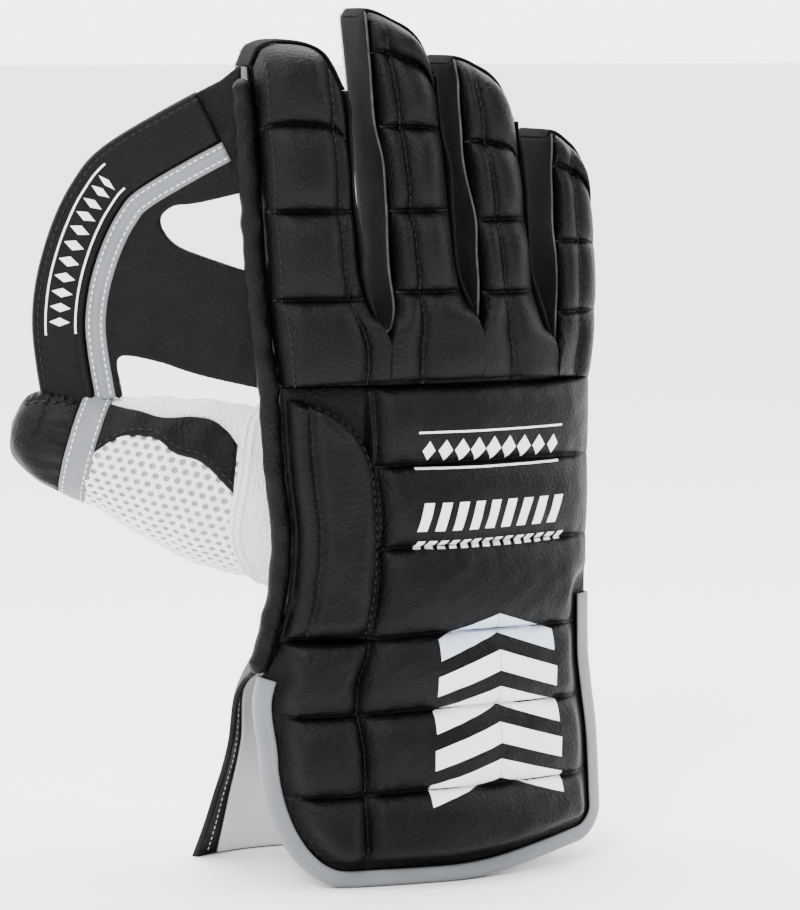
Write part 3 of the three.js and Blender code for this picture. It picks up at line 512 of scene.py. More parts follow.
def panel_surface(t, level, lift=0.0):
    t, level = np.broadcast_arrays(np.asarray(t, float), np.asarray(level, float))
    x, z = panel_place(t, level)
    bent = level - 1.6 * np.sin(share(t, COLUMN, 1) * math.pi) * share(HAND - level, 0, 20)
    height, fine = quilt(x, np.clip(bent, RIB_LEVELS[0], HAND), RIB_LEVELS, 2, valley=0.4)
    fine = fine * share(level, 10, 20)
    width = panel_edge(1, z) - panel_edge(0, z)
    height = height * edge_fall(t * width, 10) * edge_fall((1 - t) * width, 16)
    off = np.abs(t - COLUMN) * width
    height = height * (1 - 0.5 * np.exp(-((off / 4.2) ** 1.4)))
    fine = fine - 1.0 * np.exp(-((off / 0.9) ** 2)) + 0.9 * ripple(x, z, 31, 21) + 0.3 * ripple(x, z, 11, 22)
    under = (1 - smooth(t, COLUMN - 0.03, COLUMN)) * smooth(level, 94, 98)
    height = height * (1 - 0.85 * under)
    margin = smooth(hem_distance(x, z), 5.5, 13)
    height = height * mix(0.08, 1, margin)
    fine = fine * np.minimum(1, height * 2)
    y = SEAT - PAD_EDGE - PAD_RISE * 1.15 * height - fine - lift
    return bow(x, y - flare(z), z)


def back_panel():
    levels = graded([0, *RIB_LEVELS[1:]], 1.5)
    across = graded([0, COLUMN * 140, 140], 1.5) / 140
    level, t = np.meshgrid(levels, across, indexing="ij")
    x, z = panel_place(t, level)
    points, faces, _ = slab(panel_surface(t, level), bow(x, SEAT - flare(z), z))
    obj = put("back_panel_leather", points, faces, LEATHER_BLACK, ["back_panel"])
    for s in RIB_LEVELS[1:-1]:
        a = np.linspace(COLUMN + 0.01 if s > 95 else 0.07, 0.97, 200)
        level = s + 1.6 * np.sin(share(a, COLUMN, 1) * math.pi) * share(HAND - s, 0, 20)
        sew("black", panel_surface(a, level, 0.05))
    b = np.linspace(12, HAND - 4, 300)
    sew("black", panel_surface(np.full(300, COLUMN), b, 0.05))


SIDE_PAD = (96.4, 189.2, 34)


def side_pad_surface(a, b, lift=0.0):
    """The D-shaped pad beside the thumb: a across it, b up it."""
    low, high, corner = SIDE_PAD
    z = mix(low + 1, high, b)
    t_right = COLUMN * np.sqrt(np.maximum(0, 1 - share(z, high - corner, high) ** 2.4)) - 0.006
    left = mix(panel_edge(0, z), panel_edge(1, z), 0.01)
    right = mix(panel_edge(0, z), panel_edge(1, z), np.maximum(0.06, t_right))
    x = mix(left, right, a)
    rise = edge_fall(x - left, 5) * edge_fall(right - x, 10)
    rise = rise * edge_fall(z - low - 1, 8) * edge_fall(high - z + 0.5, 5)
    seam = np.exp(-(((x - left - 7.5) / 1.5) ** 2)) * smooth(z, low, low + 4)
    rise = rise * (0.8 + 0.2 * smooth(x - left, 7, 12)) * (1 - 0.22 * seam)
    fine = (0.8 * ripple(x, z, 26, 31) + 0.25 * ripple(x, z, 9, 32)) * rise
    fold = 0.9 * np.exp(-((((x - left) * 0.9 - (z - low) * 0.55 + 4) / 2.2) ** 2)) * smooth(z, low + 45, low + 5)
    y = SEAT - 6.4 - 8.8 * rise - fine - fold * rise - lift
    return x, z, bow(x, y - flare(z), z)


def side_pad():
    b, a = np.meshgrid(graded([0, 1], 0.011, 0.5), graded([0, 1], 0.026, 0.4), indexing="ij")
    x, z, front = side_pad_surface(a, b)
    points, faces, _ = slab(front, bow(x, SEAT - 6.2 - flare(z), z))
    obj = put("side_pad_leather", points, faces, LEATHER_BLACK, ["side_pad"])
    b = np.linspace(0.02, 0.97, 160)
    z = mix(SIDE_PAD[0] + 1, SIDE_PAD[1], b)
    ends = [mix(panel_edge(0, z), panel_edge(1, z), t) for t in (0.01, COLUMN - 0.006)]
    round_end = np.sqrt(np.maximum(0, 1 - share(z, SIDE_PAD[1] - SIDE_PAD[2], SIDE_PAD[1]) ** 2.4))
    width = mix(panel_edge(0, z), panel_edge(1, z), np.maximum(0.06, COLUMN * round_end - 0.006)) - ends[0]
    sew("black", side_pad_surface(7.5 / width, b, 0.05)[2])
    sew("black", side_pad_surface(1 - 1.6 / width, b, 0.05)[2])


# Finger walls, with the raw edge of the leather standing out past the padding.
def side_line(i, side, low, inset, n=70):
    top = tip_point(i, side, inset)[1] - 0.4
    z = np.linspace(low, float(top), n)
    return np.stack([finger_edge(i, side, z) + inset * (1 - 2 * side), z], -1)


def wall(name, outer, inner, rim, seed, node, wave=1.0, depth=14, body=0, raw_from=None):
    """A leather wall: outer and inner lines in the layout, and its front rim's y."""
    s = np.concatenate([[0], np.cumsum(np.linalg.norm(np.diff(outer, axis=0), axis=1))])
    way = np.gradient(outer, axis=0)
    way /= np.linalg.norm(way, axis=1, keepdims=True) + 1e-9
    side = np.stack([-way[:, 1], way[:, 0]], -1)
    ends = smooth(s, 0, 8) * smooth(s[-1] - s, 0, 8)
    curl = wave * ends * (1.2 * np.sin(s / 9.3 + seed) + 0.35 * np.sin(s / 4.6 + 2 * seed))
    rims = rim - wave * ends * (1.2 + 0.9 * np.sin(s / 8.0 + 3 * seed) + 0.3 * np.sin(s / 3.1 + seed))
    # A left-hand fin ends at the fingertip in a corner that stands out.
    corner = np.exp(-(((s[-1] - s) / 5) ** 2)) * (raw_from is not None)
    rims = rims - 2.2 * corner
    t = np.linspace(0, 1, depth) ** 1.5
    grids = []
    for line in (outer, inner):
        thin = np.exp(-t * 9)[None] * (0.25 if line is inner else -0.2)
        y = mix(rims[:, None], palm_inner(line[:, 1])[:, None], t[None])
        shift = curl[:, None] * np.exp(-(y - rims[:, None]) / 4)
        across = outer - inner
        x = line[:, :1] + side[:, :1] * shift + across[:, :1] * thin
        z = line[:, 1:] + side[:, 1:] * shift + across[:, 1:] * thin
        z = z + 2.4 * corner[:, None] * np.exp(-(y - rims[:, None]) / 3)
        grids.append(bow(x, y, z))
    points, faces, counts = slab(*grids)
    which = np.full(len(faces), body)
    edge = sum(counts[:4])
    if raw_from is not None:
        which[edge + raw_from : edge + counts[4]] = 1
    return put(name, points, faces, [LEATHER_BLACK, RAW_EDGE, SUEDE], [node], which)


def finger_walls():
    hidden, raw = SEAT + 0.4, SEAT - FIN
    wall("index_side_wall", side_line(0, 0, 200.4, 0), side_line(0, 0, 200.4, LEATHER), hidden, 1, "index_side", 0)
    wall("little_side_wall", side_line(3, 1, 200.4, 0), side_line(3, 1, 200.4, LEATHER), hidden, 2, "little_side", 0)
    for i, f in enumerate(FINGERS):
        t = np.linspace(0, 1, 48)
        outer, inner = (np.stack(tip_point(i, t, d), -1) for d in (0, LEATHER))
        wall(f["name"] + "_tip_strip", outer, inner, SEAT - 2.2, i + 3, f["name"] + "_tip", 0.25, body=2)
    for k, (x, _) in enumerate(CROTCHES):
        x, z = HALF_WIDTH * x, crotch_z(k)
        down = [side_line(k, 1, z, d)[1:][::-1] for d in (0, LEATHER)]
        up = [side_line(k + 1, 0, z, d)[1:] for d in (0, LEATHER)]
        turn = np.linspace(0, math.pi, 7)
        foot = [np.tile([x, z], (7, 1)) + [[0, -0.02]] * 7,
                np.stack([x - LEATHER * np.cos(turn), z - CROTCH_DEPTH * np.sin(turn)], -1)]
        outer, inner = (np.concatenate([down[d], foot[d], up[d]]) for d in (0, 1))
        name = FINGERS[k]["name"] + "_" + FINGERS[k + 1]["name"]
        wall(name + "_fourchette", outer, inner, raw, k * 2.3 + 1, name + "_gusset", 0.7, body=2,
             raw_from=len(down[0]) + 4)


def finger_faces():
    for i, f in enumerate(FINGERS):
        peak = HAND + FINGER * f["top"]
        level, t = np.meshgrid(np.linspace(PALM_TOP, peak, 60), np.linspace(0, 1, 26), indexing="ij")
        x, z = finger_place(i, t, level, 0.0)
        width = finger_edge(i, 1, z) - finger_edge(i, 0, z)
        fall = edge_fall(np.minimum(t, 1 - t) * width, 8) * edge_fall(peak - level, 8)
        y = palm_inner(z) + 0.35
        z = np.where(level < PALM_TOP + 0.1, PALM_TOP + 0.1, z)
        fold = 0.5 * ripple(x, z, 17, 50 + i) * fall
        outer = bow(x, y + 2 + 2.6 * fall + fold, z)
        points, faces, _ = slab(outer, bow(x, y, z))
        put(f["name"] + "_palm_leather", points, faces, PALM_WHITE, [f["name"] + "_palm"])


# Hand's palm side and the cuff.
def section(left, right, back, a, b, n):
    angle = mix(a, math.pi - b, np.linspace(0, 1, n))
    c, s = np.cos(angle), np.maximum(0, np.sin(angle))
    front = SEAT + 0.35
    return (left + right) / 2 + (right - left) / 2 * np.sign(c) * np.abs(c) ** 0.5, front + (back - front) * s**0.5


def palm_shell():
    grids = []
    for inset in (0, PALM_WALL):
        rows = []
        for z in np.linspace(WRIST + 0.2, PALM_TOP - 0.1, 46):
            x, y = section(hand_edge(0, z) + inset, hand_edge(1, z) - inset, PALM_Y + PALM_WALL - inset, 0, 0, 110)
            dent = 1.2 * ripple(x, np.full_like(x, z), 30, 61) * share(y, 0, 14) if inset == 0 else 0
            rows.append(bow(x, y + dent, z))
        grids.append(np.array(rows))
    points, faces, _ = slab(*grids)
    obj = put("palm_shell", points, faces, PALM_WHITE, ["palm_face"])
    core, cap_faces, _ = thumb_solid([-0.3, -0.1, 0, 0.1, 0.2], 0.3)
    tool = put("thumb_core", core, cap_faces, PALM_WHITE)
    hole = obj.modifiers.new("hole", "BOOLEAN")
    hole.operation, hole.solver, hole.object = "DIFFERENCE", "EXACT", tool
    bake(obj)
    bpy.data.objects.remove(tool)


def bake(obj):
    """Turns an object and its live modifiers into a plain mesh."""
    dg = bpy.context.evaluated_depsgraph_get()
    made = bpy.data.meshes.new_from_object(obj.evaluated_get(dg))
    obj.modifiers.clear()
    old = obj.data
    obj.data = made
    bpy.data.meshes.remove(old)


def cuff_section(z, inset, edge, n):
    down = float(share(WRIST - z, 0, WRIST))
    left = hand_edge(0, z) - 27 * down**1.75 + inset
    right = hand_edge(1, z) + 9 * down - inset
    back = PALM_Y + PALM_WALL + 30 * down**1.25 - inset
    opened = lambda top: float(share(top - z, 0, top)) ** 0.8 * math.radians(38) + edge
    return section(left, right, back, opened(107) + math.radians(1.5), opened(82), n)


def cuff_layer(levels, inset, edge, lift, n=120):
    rows = []
    for level in levels:
        x, _ = cuff_section(level, inset, edge, n)
        z = np.maximum(level, 9 * np.maximum(0, 1 - (x / (HALF_WIDTH * 0.62)) ** 2) + lift)
        y = np.array([cuff_section(h, inset, edge, n)[1][k] for k, h in enumerate(z)])
        x = np.array([cuff_section(h, inset, edge, n)[0][k] for k, h in enumerate(z)])
        wave = 1.3 * ripple(x, z, 38, 71) * share(WRIST - z, 5, 60)
        rows.append(bow(x, y + wave, z))
    return np.array(rows)


def cuff_back():
    levels = np.concatenate([[0], np.linspace(1.5, WRIST - 0.2, 50)])
    points, faces, _ = slab(cuff_layer(levels, 0, 0, 0), cuff_layer(levels, 2.4, 0, 0))
    put("cuff_flap", points, faces, LEATHER_BLACK, ["palm_cuff"])
    inside = np.linspace(0.6, 88, 44)
    outer, inner = cuff_layer(inside, 2.6, 0.24, 0.6), cuff_layer(inside, 3.6, 0.24, 0.6)
    points, faces, _ = slab(outer, inner)
    cloth = put("cuff_lining_cloth", points, faces, LINING, ["cuff_lining"])
    rows = cuff_layer(np.linspace(3, 78, 60), 2.3, 0.13, 0.6)
    sew("white", rows[:, -1])
    sew("white", rows[:, 0])


def hem_stations(n=190):
    """The cuff's bound edge: places and outward directions in the layout."""
    left = np.linspace(82, 46, 40)
    pts = [np.stack([panel_edge(0, left), left], -1)]
    t = np.linspace(0, 1, n)
    z = np.full(n, HEM_FLOOR)
    for _ in range(12):
        x = mix(panel_edge(0, z), panel_edge(1, z), t)
        z = hem(x)
    keep = (z < 45) | (x > 0)
    pts.append(np.stack([x, z], -1)[keep])
    right = np.linspace(float(z[-1]) + 1, 107, 90)
    pts.append(np.stack([panel_edge(1, right), right], -1))
    line = np.concatenate(pts)
    s = np.concatenate([[0], np.cumsum(np.linalg.norm(np.diff(line, axis=0), axis=1))])
    even = np.linspace(0, s[-1], 260)
    line = np.stack([np.interp(even, s, line[:, k]) for k in (0, 1)], -1)
    way = np.gradient(line, axis=0)
    for _ in range(3):
        way[1:-1] = (way[:-2] + way[1:-1] + way[2:]) / 3
    way /= np.linalg.norm(way, axis=1, keepdims=True)
    return line, np.stack([way[:, 1], -way[:, 0]], -1), even


def binding():
    line, out, s = hem_stations()
    front = SEAT - 5
    g, t, lip = 0.3, 1.5, 4.6
    profiles = []
    for d in (g + t, g):
        arc = np.linspace(0, math.pi / 2, 7)
        r = d + 0.9
        a = np.stack([-0.9 + r * np.sin(arc), front + 0.9 - r * np.cos(arc)], -1)
        b = np.stack([-0.9 + r * np.cos(arc), SEAT - 0.9 + r * np.sin(arc)], -1)
        lead = np.linspace(-lip, -1.5, 6)
        start = np.stack([lead, np.full(6, front - d)], -1)
        end = np.stack([lead[::-1], np.full(6, SEAT + d)], -1)
        profiles.append(np.concatenate([start, a, b, end]))
    profiles[0][:2, 1] += (0.5, 0.1)
    grids = []
    for k, p in enumerate(profiles):
        wave = 0.35 * np.sin(s / 9.0) + 0.3 * np.sin(s / 4.1 + 1)
        puff = np.array([1.0] * 4 + [0.0] * (len(p) - 4)) if k == 0 else np.zeros(len(p))
        x = line[:, :1] + out[:, :1] * p[None, :, 0]
        z = line[:, 1:] + out[:, 1:] * p[None, :, 0]
        y = p[None, :, 1] - 0.4 * puff[None] * wave[:, None] - flare(z)
        grids.append(bow(x, y, z))
    points, faces, _ = slab(*grids)
    put("cuff_tape", points, faces, TAPE_GREY, ["cuff_binding"])


def tube(path, radii, around=24):
    """A closed cord with slanting folds along a path of points."""
    way = np.gradient(path, axis=0)
    way /= np.linalg.norm(way, axis=1, keepdims=True)
    up = np.array([0.0, 1.0, 0.0])
    a = np.cross(way, up)
    a /= np.linalg.norm(a, axis=1, keepdims=True)
    b = np.cross(way, a)
    angle = np.linspace(0, 2 * math.pi, around, endpoint=False)
    s = np.arange(len(path))[:, None]
    folds = 1 + 0.045 * np.sin(s / 2.9 + 2 * angle) * np.sin(s / 17) + 0.03 * np.sin(s / 1.7 - 2 * angle + 1)
    ring = path[:, None] + (radii[:, None] * folds)[..., None] * (
        a[:, None] * np.cos(angle)[None, :, None] + b[:, None] * np.sin(angle)[None, :, None]
    )
    n = len(path)
    points = np.concatenate([ring.reshape(-1, 3), [path[0]], [path[-1]]])
    faces = quads(n, around, 0, True).tolist()
    for k in range(around):
        m = (k + 1) % around
        faces.append([n * around, m, k])
        faces.append([n * around + 1, (n - 1) * around + k, (n - 1) * around + m])
    return points, faces


def edge_roll():
    z = np.linspace(84, 311, 240)
    edge = np.where(z < HAND, panel_edge(0, z), finger_edge(0, 0, z) + LEATHER + 0.35)
    path = bow(edge - 4.7, np.full_like(z, SEAT - 4.35) - flare(z), z)
    ends = np.sqrt(share(z, 83.9, 87) * share(311.2 - z, 0, 3))
    radii = (4.0 + 0.14 * np.sin(z / 3.1) + 0.1 * np.sin(z / 1.7 + 1)) * np.maximum(ends, 0.2)
    points, faces = tube(path, radii)
    put("piping", points, faces, LEATHER_BLACK, ["edge_roll"])


# Thumb.
THUMB_ALONG = np.array([-math.cos(math.radians(THUMB_OUT)), math.sin(math.radians(THUMB_OUT)),
                        math.tan(math.radians(THUMB_UP))])
THUMB_ALONG /= np.linalg.norm(THUMB_ALONG)
THUMB_RISE = np.array([0, 0, 1.0]) - THUMB_ALONG * THUMB_ALONG[2]
THUMB_RISE /= np.linalg.norm(THUMB_RISE)
THUMB_FRONT = np.cross(THUMB_RISE, THUMB_ALONG)
THUMB_FRONT = THUMB_FRONT if THUMB_FRONT[1] < 0 else -THUMB_FRONT
thumb_height = table(THUMB_PLACES, THUMB_HEIGHTS)
thumb_depth = table(THUMB_PLACES, THUMB_DEPTHS)


def thumb_point(place, degrees, inset=0.0):
    place, degrees, inset = np.broadcast_arrays(*(np.asarray(v, float) for v in (place, degrees, inset)))
    up = np.maximum(0, THUMB_HALF[0] * thumb_height(place) - inset)
    out = np.maximum(0, THUMB_HALF[1] * thumb_depth(place) - inset)
    angle = np.radians(degrees)
    back = np.where(place >= 1, inset, 0)
    return (
        THUMB_BASE
        + THUMB_ALONG * (THUMB_REACH * place - back)[..., None]
        + THUMB_RISE * (up * np.sin(angle))[..., None]
        + THUMB_FRONT * (out * np.cos(angle))[..., None]
    )


def thumb_solid(places, clearance):
    p, a = np.meshgrid(places, np.linspace(0, 360, 48, endpoint=False), indexing="ij")
    skin = thumb_point(p, a, -clearance)
    axis = thumb_point(p, a, 2 * THUMB_HALF[0])
    return slab(skin, axis, True)


WINDOW = table((0.0, 0.08, 0.2, 0.32, 0.42, 0.52, 0.58, 0.64), (-4, 3, 15, 18, 27, 24, 14, -4))
PATCH_TOP = table((0.0, 0.08, 0.15, 0.25, 0.4, 0.55, 0.64), (28, 32, 43, 51, 46, 54, 60))
# The collar's end along the thumb, by degrees from the thumb's underside.
collar_end = table((0, 15, 39, 58, 73, 101, 143, 180),
                   (-0.17, -0.095, -0.029, 0.02, 0.038, 0.055, 0.09, 0.07))


def from_underside(degrees):
    return np.abs((np.asarray(degrees, float) + 270) % 360 - 180)


def thumb():
    # Collar: white, with a raised double ridge where the stall is sewn on.
    u, a = np.meshgrid(np.linspace(0, 1, 60), np.linspace(0, 360, 200, endpoint=False), indexing="ij")
    end = collar_end(from_underside(a))
    p = mix(-0.2, end, u)
    d = (end - p) * THUMB_REACH
    ridge = 1.1 * np.exp(-(((d - 1.2) / 0.85) ** 2)) + 0.9 * np.exp(-(((d - 3.9) / 0.9) ** 2))
    bumps = 0.35 + ridge + 0.3 * ripple(p * 97, a * 0.4, 12, 81)
    points, faces, _ = slab(thumb_point(p, a, -bumps), thumb_point(p, a, 2.2), True)
    put("thumb_collar_leather", points, faces, PALM_WHITE, ["thumb_collar"])
    places = np.linspace(-0.19, 0.625, 110)
    s, u = np.meshgrid(places, np.linspace(0, 1, 90), indexing="ij")
    a = mix(PATCH_TOP(s) + 0.5, 360 - 85 - 0.5, u)
    seam = 0.8 * np.exp(-((np.minimum(u, 1 - u) * 200 / 2.2) ** 2))
    dents = 0.8 * ripple(s * 97, a * 0.4, 20, 82) * share(np.minimum(u, 1 - u), 0, 0.1) * share(s, 0.08, 0.14)
    points, faces, _ = slab(thumb_point(s, a, 0.3 * seam - dents), thumb_point(s, a, 2.2))
    put("thumb_palm_leather", points, faces, PALM_WHITE, ["thumb_palm"])
    # Black patch with its scalloped lower edge lying over the mesh.
    v, u = np.meshgrid(np.linspace(0, 1, 110), np.linspace(0, 1, 30), indexing="ij")
    start = mix(0.052, 0.088, u)
    s = mix(start, 0.625, v)
    a = mix(WINDOW(s), PATCH_TOP(s) + 1.5, u)
    fall = edge_fall(u * 30, 2.5) * edge_fall((1 - u) * 30, 2.5) * edge_fall((s - start) * 97, 2)
    dents = 1.2 + 0.5 * ripple(s * 97, a * 0.4, 10, 83)
    points, faces, _ = slab(thumb_point(s, a, -0.3 - dents * fall), thumb_point(s, a, 0.2))
    put("thumb_patch_leather", points, faces, LEATHER_BLACK, ["thumb_patch"])
    s = np.linspace(0.075, 0.61, 120)
    sew("black", thumb_point(s, WINDOW(s) + 5, -1.6))
    # Grey band, stitched on both sides.
    p, a = np.meshgrid(np.linspace(0.622, 0.738, 26), np.linspace(0, 360, 140, endpoint=False), indexing="ij")
    lift = 0.5 + 0.5 * edge_fall(np.minimum(p - 0.622, 0.738 - p) * 97, 1.5) + 0.25 * ripple(p * 97, a * 0.4, 9, 84)
    points, faces, _ = slab(thumb_point(p, a, -lift), thumb_point(p, a, 1.8), True)
    put("thumb_band_tape", points, faces, TAPE_GREY, ["thumb_band"])
    ring = np.linspace(0, 360, 240)
    for place in (0.64, 0.72):
        sew("white", thumb_point(np.full(240, place), ring, -1.05))
    # Black cap, gathered into the band's seam.
    places = 1 - (1 - np.linspace(0, 1, 46)) ** 1.5
    p, a = np.meshgrid(mix(0.74, 1, places), np.linspace(0, 360, 150, endpoint=False), indexing="ij")
    gather = np.exp(-(p - 0.74) / 0.05) * (0.8 * np.sin(np.radians(a) * 17 + 2 * ripple(a * 0.4, p * 20, 15, 85)))
    seam = 1.2 * np.exp(-(((p - 0.86) / 0.012) ** 2)) * (np.abs(a - 90) < 120)
    body = (0.7 * gather + 0.9 * ripple(p * 97, a * 0.35, 16, 86) - 0.6 * seam) * share(1 - p, 0, 0.04)
    # A gathered seam runs along the cap below its top.
    gather = 0.45 * np.sin(p * 97 * 2.1 + 0.8 * np.sin(p * 60)) * np.exp(-(((a - 64) / 10) ** 2))
    body = body + (gather - 1.0 * np.exp(-(((a - 52) / 2.5) ** 2))) * share(1 - p, 0.02, 0.06)
    points, faces, _ = slab(thumb_point(p, a, -body), thumb_point(p, a, 2.0), True)
    put("thumb_cap_leather", points, faces, LEATHER_BLACK, ["thumb_cap"])
    ridge = np.linspace(0.76, 0.95, 60)
    sew("black", thumb_point(ridge, np.full(60, 47), -0.4))


def mesh_sag(place, angle):
    """How far the mesh stands out, by soft hollows and bulges, level under the collar."""
    return (0.45 + 0.5 * ripple(place * 97, angle * 0.4, 18, 87)) * share(place, 0.06, 0.12)


def perforated_mesh():
    """White cloth with a close lattice of round holes, over a grey ground."""
    pitch, hole = 4.3, 1.25
    row = pitch * math.sqrt(3) / 2
    corner = np.arange(12) * math.pi / 6 + math.pi / 6
    edge = np.where(np.arange(12) % 2 == 0, pitch / math.sqrt(3), pitch / 2)
    tile_points = [(hole * math.cos(c), hole * math.sin(c), 0) for c in corner]
    tile_points += [(e * math.cos(c), e * math.sin(c), 0) for e, c in zip(edge, corner)]
    tile_faces = [(k, 12 + k, 12 + (k + 1) % 12, (k + 1) % 12) for k in range(12)]
    tile = bpy.data.meshes.new("mesh_tile")
    tile.from_pydata([tuple(v / 1000 for v in p) for p in tile_points], [], tile_faces)
    tile_object = bpy.data.objects.new("mesh_tile", tile)
    tree, size = lattice_group()
    host = bpy.data.objects.new("thumb_mesh_cloth", bpy.data.meshes.new("thumb_mesh_cloth"))
    bpy.context.collection.objects.link(host)
    use(host, tree, {"Tile": tile_object, "Pitch": pitch / 1000, "Columns": 19, "Rows": 17, "Finish": MESH_WHITE})
    flat = np.array([v.co for v in host.data.vertices]) * 1000
    polys = [tuple(p.vertices) for p in host.data.polygons]
    bpy.data.objects.remove(host)
    bpy.data.objects.remove(tile_object)
    # The flat sheet is laid on the thumb: its columns run along it, its rows down from the patch.
    length = 0.825 * THUMB_REACH
    place = mix(-0.19, 0.635, share(flat[:, 0], 0, length))
    size_here = 34 * thumb_height(place)
    angle = 34 - flat[:, 1] / (0.5 * (size_here + 17)) * 57.3 * 0.78
    keep_low = -87.0
    inside = np.array([angle[list(f)].max() > keep_low for f in polys])
    angle = np.maximum(angle, keep_low)
    sag = mesh_sag(place, angle)
    top = thumb_point(place, angle, -sag)
    under = thumb_point(place, angle, 0.9 - sag)
    faces = [f for f, ok in zip(polys, inside) if ok]
    count = len(flat)
    seen = {}
    for f in faces:
        for a, b in zip(f, f[1:] + f[:1]):
            seen[(a, b)] = True
    rims = [(b, a, a + count, b + count) for a, b in seen if (b, a) not in seen]
    faces = faces + [tuple(v + count for v in f[::-1]) for f in faces] + rims
    used = sorted({v for f in faces for v in f})
    index = {v: k for k, v in enumerate(used)}
    both = np.concatenate([top, under])[used]
    faces = [[index[v] for v in f] for f in faces]
    obj = put("thumb_mesh_holes", both, faces, MESH_WHITE)
    p, a = np.meshgrid(np.linspace(-0.185, 0.62, 70), np.linspace(-88, 40, 50), indexing="ij")
    points, faces, _ = slab(thumb_point(p, a, 1.1 - mesh_sag(p, a)), thumb_point(p, a, 2.6))
    put("thumb_mesh_ground", points, faces, MESH_GROUND, ["thumb_mesh"])
    return obj


# Geometry node groups.
def group(name, inputs):
    tree = bpy.data.node_groups.new(name, "GeometryNodeTree")
    tree.interface.new_socket("Geometry", in_out="INPUT", socket_type="NodeSocketGeometry")
    for key, kind in inputs:
        tree.interface.new_socket(key, in_out="INPUT", socket_type=kind)
    tree.interface.new_socket("Geometry", in_out="OUTPUT", socket_type="NodeSocketGeometry")
    return tree, tree.nodes.new("NodeGroupInput").outputs


def use(obj, tree, values):
    """Runs a node group on an object with the given inputs and keeps the result as a plain mesh."""
    mod = obj.modifiers.new(tree.name, "NODES")
    mod.node_group = tree
    for item in tree.interface.items_tree:
        if item.in_out == "INPUT" and item.name in values:
            mod[item.identifier] = values[item.name]
    bake(obj)
    return obj


def finish_group(tree, geometry, finish):
    real = add(tree, "GeometryNodeRealizeInstances", Geometry=geometry)
    shade = add(tree, "GeometryNodeSetShadeSmooth", Geometry=real.outputs[0])
    made = add(tree, "GeometryNodeSetMaterial", Geometry=shade.outputs[0], Material=finish)
    out = tree.nodes.new("NodeGroupOutput")
    tree.links.new(made.outputs[0], out.inputs[0])


def lattice_group():
    tree, given = group("hexagonal_lattice", [("Tile", "NodeSocketObject"), ("Pitch", "NodeSocketFloat"),
                                              ("Columns", "NodeSocketInt"), ("Rows", "NodeSocketInt"),
                                              ("Finish", "NodeSocketMaterial")])
    wide = add(tree, "ShaderNodeMath", {"operation": "MULTIPLY"})
    tree.links.new(given["Columns"], wide.inputs[0])
    tree.links.new(given["Pitch"], wide.inputs[1])
    line = add(tree, "GeometryNodeMeshGrid", {"Size X": 1.0, "Size Y": 1.0}, Vertices_X=given["Columns"],
               Vertices_Y=given["Rows"])
    index = add(tree, "GeometryNodeInputIndex")
    column = add(tree, "ShaderNodeMath", {"operation": "DIVIDE"})
    tree.links.new(index.outputs[0], column.inputs[0])
    tree.links.new(given["Rows"], column.inputs[1])
    column_whole = add(tree, "ShaderNodeMath", {"operation": "FLOOR"})
    tree.links.new(column.outputs[0], column_whole.inputs[0])
    row = add(tree, "ShaderNodeMath", {"operation": "MODULO"})
    tree.links.new(index.outputs[0], row.inputs[0])
    tree.links.new(given["Rows"], row.inputs[1])
    odd = add(tree, "ShaderNodeMath", {"operation": "MODULO"})
    tree.links.new(row.outputs[0], odd.inputs[0])
    odd.inputs[1].default_value = 2.0
    shifted = add(tree, "ShaderNodeMath", {"operation": "MULTIPLY_ADD"})
    tree.links.new(odd.outputs[0], shifted.inputs[0])
    shifted.inputs[1].default_value = 0.5
    tree.links.new(column_whole.outputs[0], shifted.inputs[2])
    x = add(tree, "ShaderNodeMath", {"operation": "MULTIPLY"})
    tree.links.new(shifted.outputs[0], x.inputs[0])
    tree.links.new(given["Pitch"], x.inputs[1])
    tall = add(tree, "ShaderNodeMath", {"operation": "MULTIPLY"})
    tree.links.new(row.outputs[0], tall.inputs[0])
    tall.inputs[1].default_value = math.sqrt(3) / 2
    y = add(tree, "ShaderNodeMath", {"operation": "MULTIPLY"})
    tree.links.new(tall.outputs[0], y.inputs[0])
    tree.links.new(given["Pitch"], y.inputs[1])
    place = add(tree, "ShaderNodeCombineXYZ", X=x.outputs[0], Y=y.outputs[0])
    moved = add(tree, "GeometryNodeSetPosition", Geometry=line.outputs["Mesh"], Position=place.outputs[0])
    tile = add(tree, "GeometryNodeObjectInfo", Object=given["Tile"])
    many = add(tree, "GeometryNodeInstanceOnPoints", Points=moved.outputs[0], Instance=tile.outputs["Geometry"])
    real = add(tree, "GeometryNodeRealizeInstances", Geometry=many.outputs[0])
    weld = add(tree, "GeometryNodeMergeByDistance", {"Distance": 2e-5}, Geometry=real.outputs[0])
    finish_group(tree, weld.outputs[0], given["Finish"])
    return tree, None


def stitch_group():
    """Stitches of a given length, one each pitch, along every line of the mesh."""
    tree, given = group("stitches_along_lines", [("Pitch", "NodeSocketFloat"), ("Stitch", "NodeSocketVector"),
                                                 ("Finish", "NodeSocketMaterial")])
    line = add(tree, "GeometryNodeMeshToCurve", Mesh=given["Geometry"])
    even = add(tree, "GeometryNodeResampleCurve", {"mode": "LENGTH"}, Curve=line.outputs[0], Length=given["Pitch"])
    way = add(tree, "GeometryNodeInputTangent")
    turn = add(tree, "FunctionNodeAlignRotationToVector", {"axis": "X"}, Vector=way.outputs[0])
    bead = add(tree, "GeometryNodeMeshUVSphere", {"Segments": 7, "Rings": 6, "Radius": 1.0})
    shaped = add(tree, "GeometryNodeTransform", Geometry=bead.outputs["Mesh"], Scale=given["Stitch"])
    many = add(tree, "GeometryNodeInstanceOnPoints", Points=even.outputs[0], Instance=shaped.outputs[0],
               Rotation=turn.outputs[0])
    finish_group(tree, many.outputs[0], given["Finish"])
    return tree


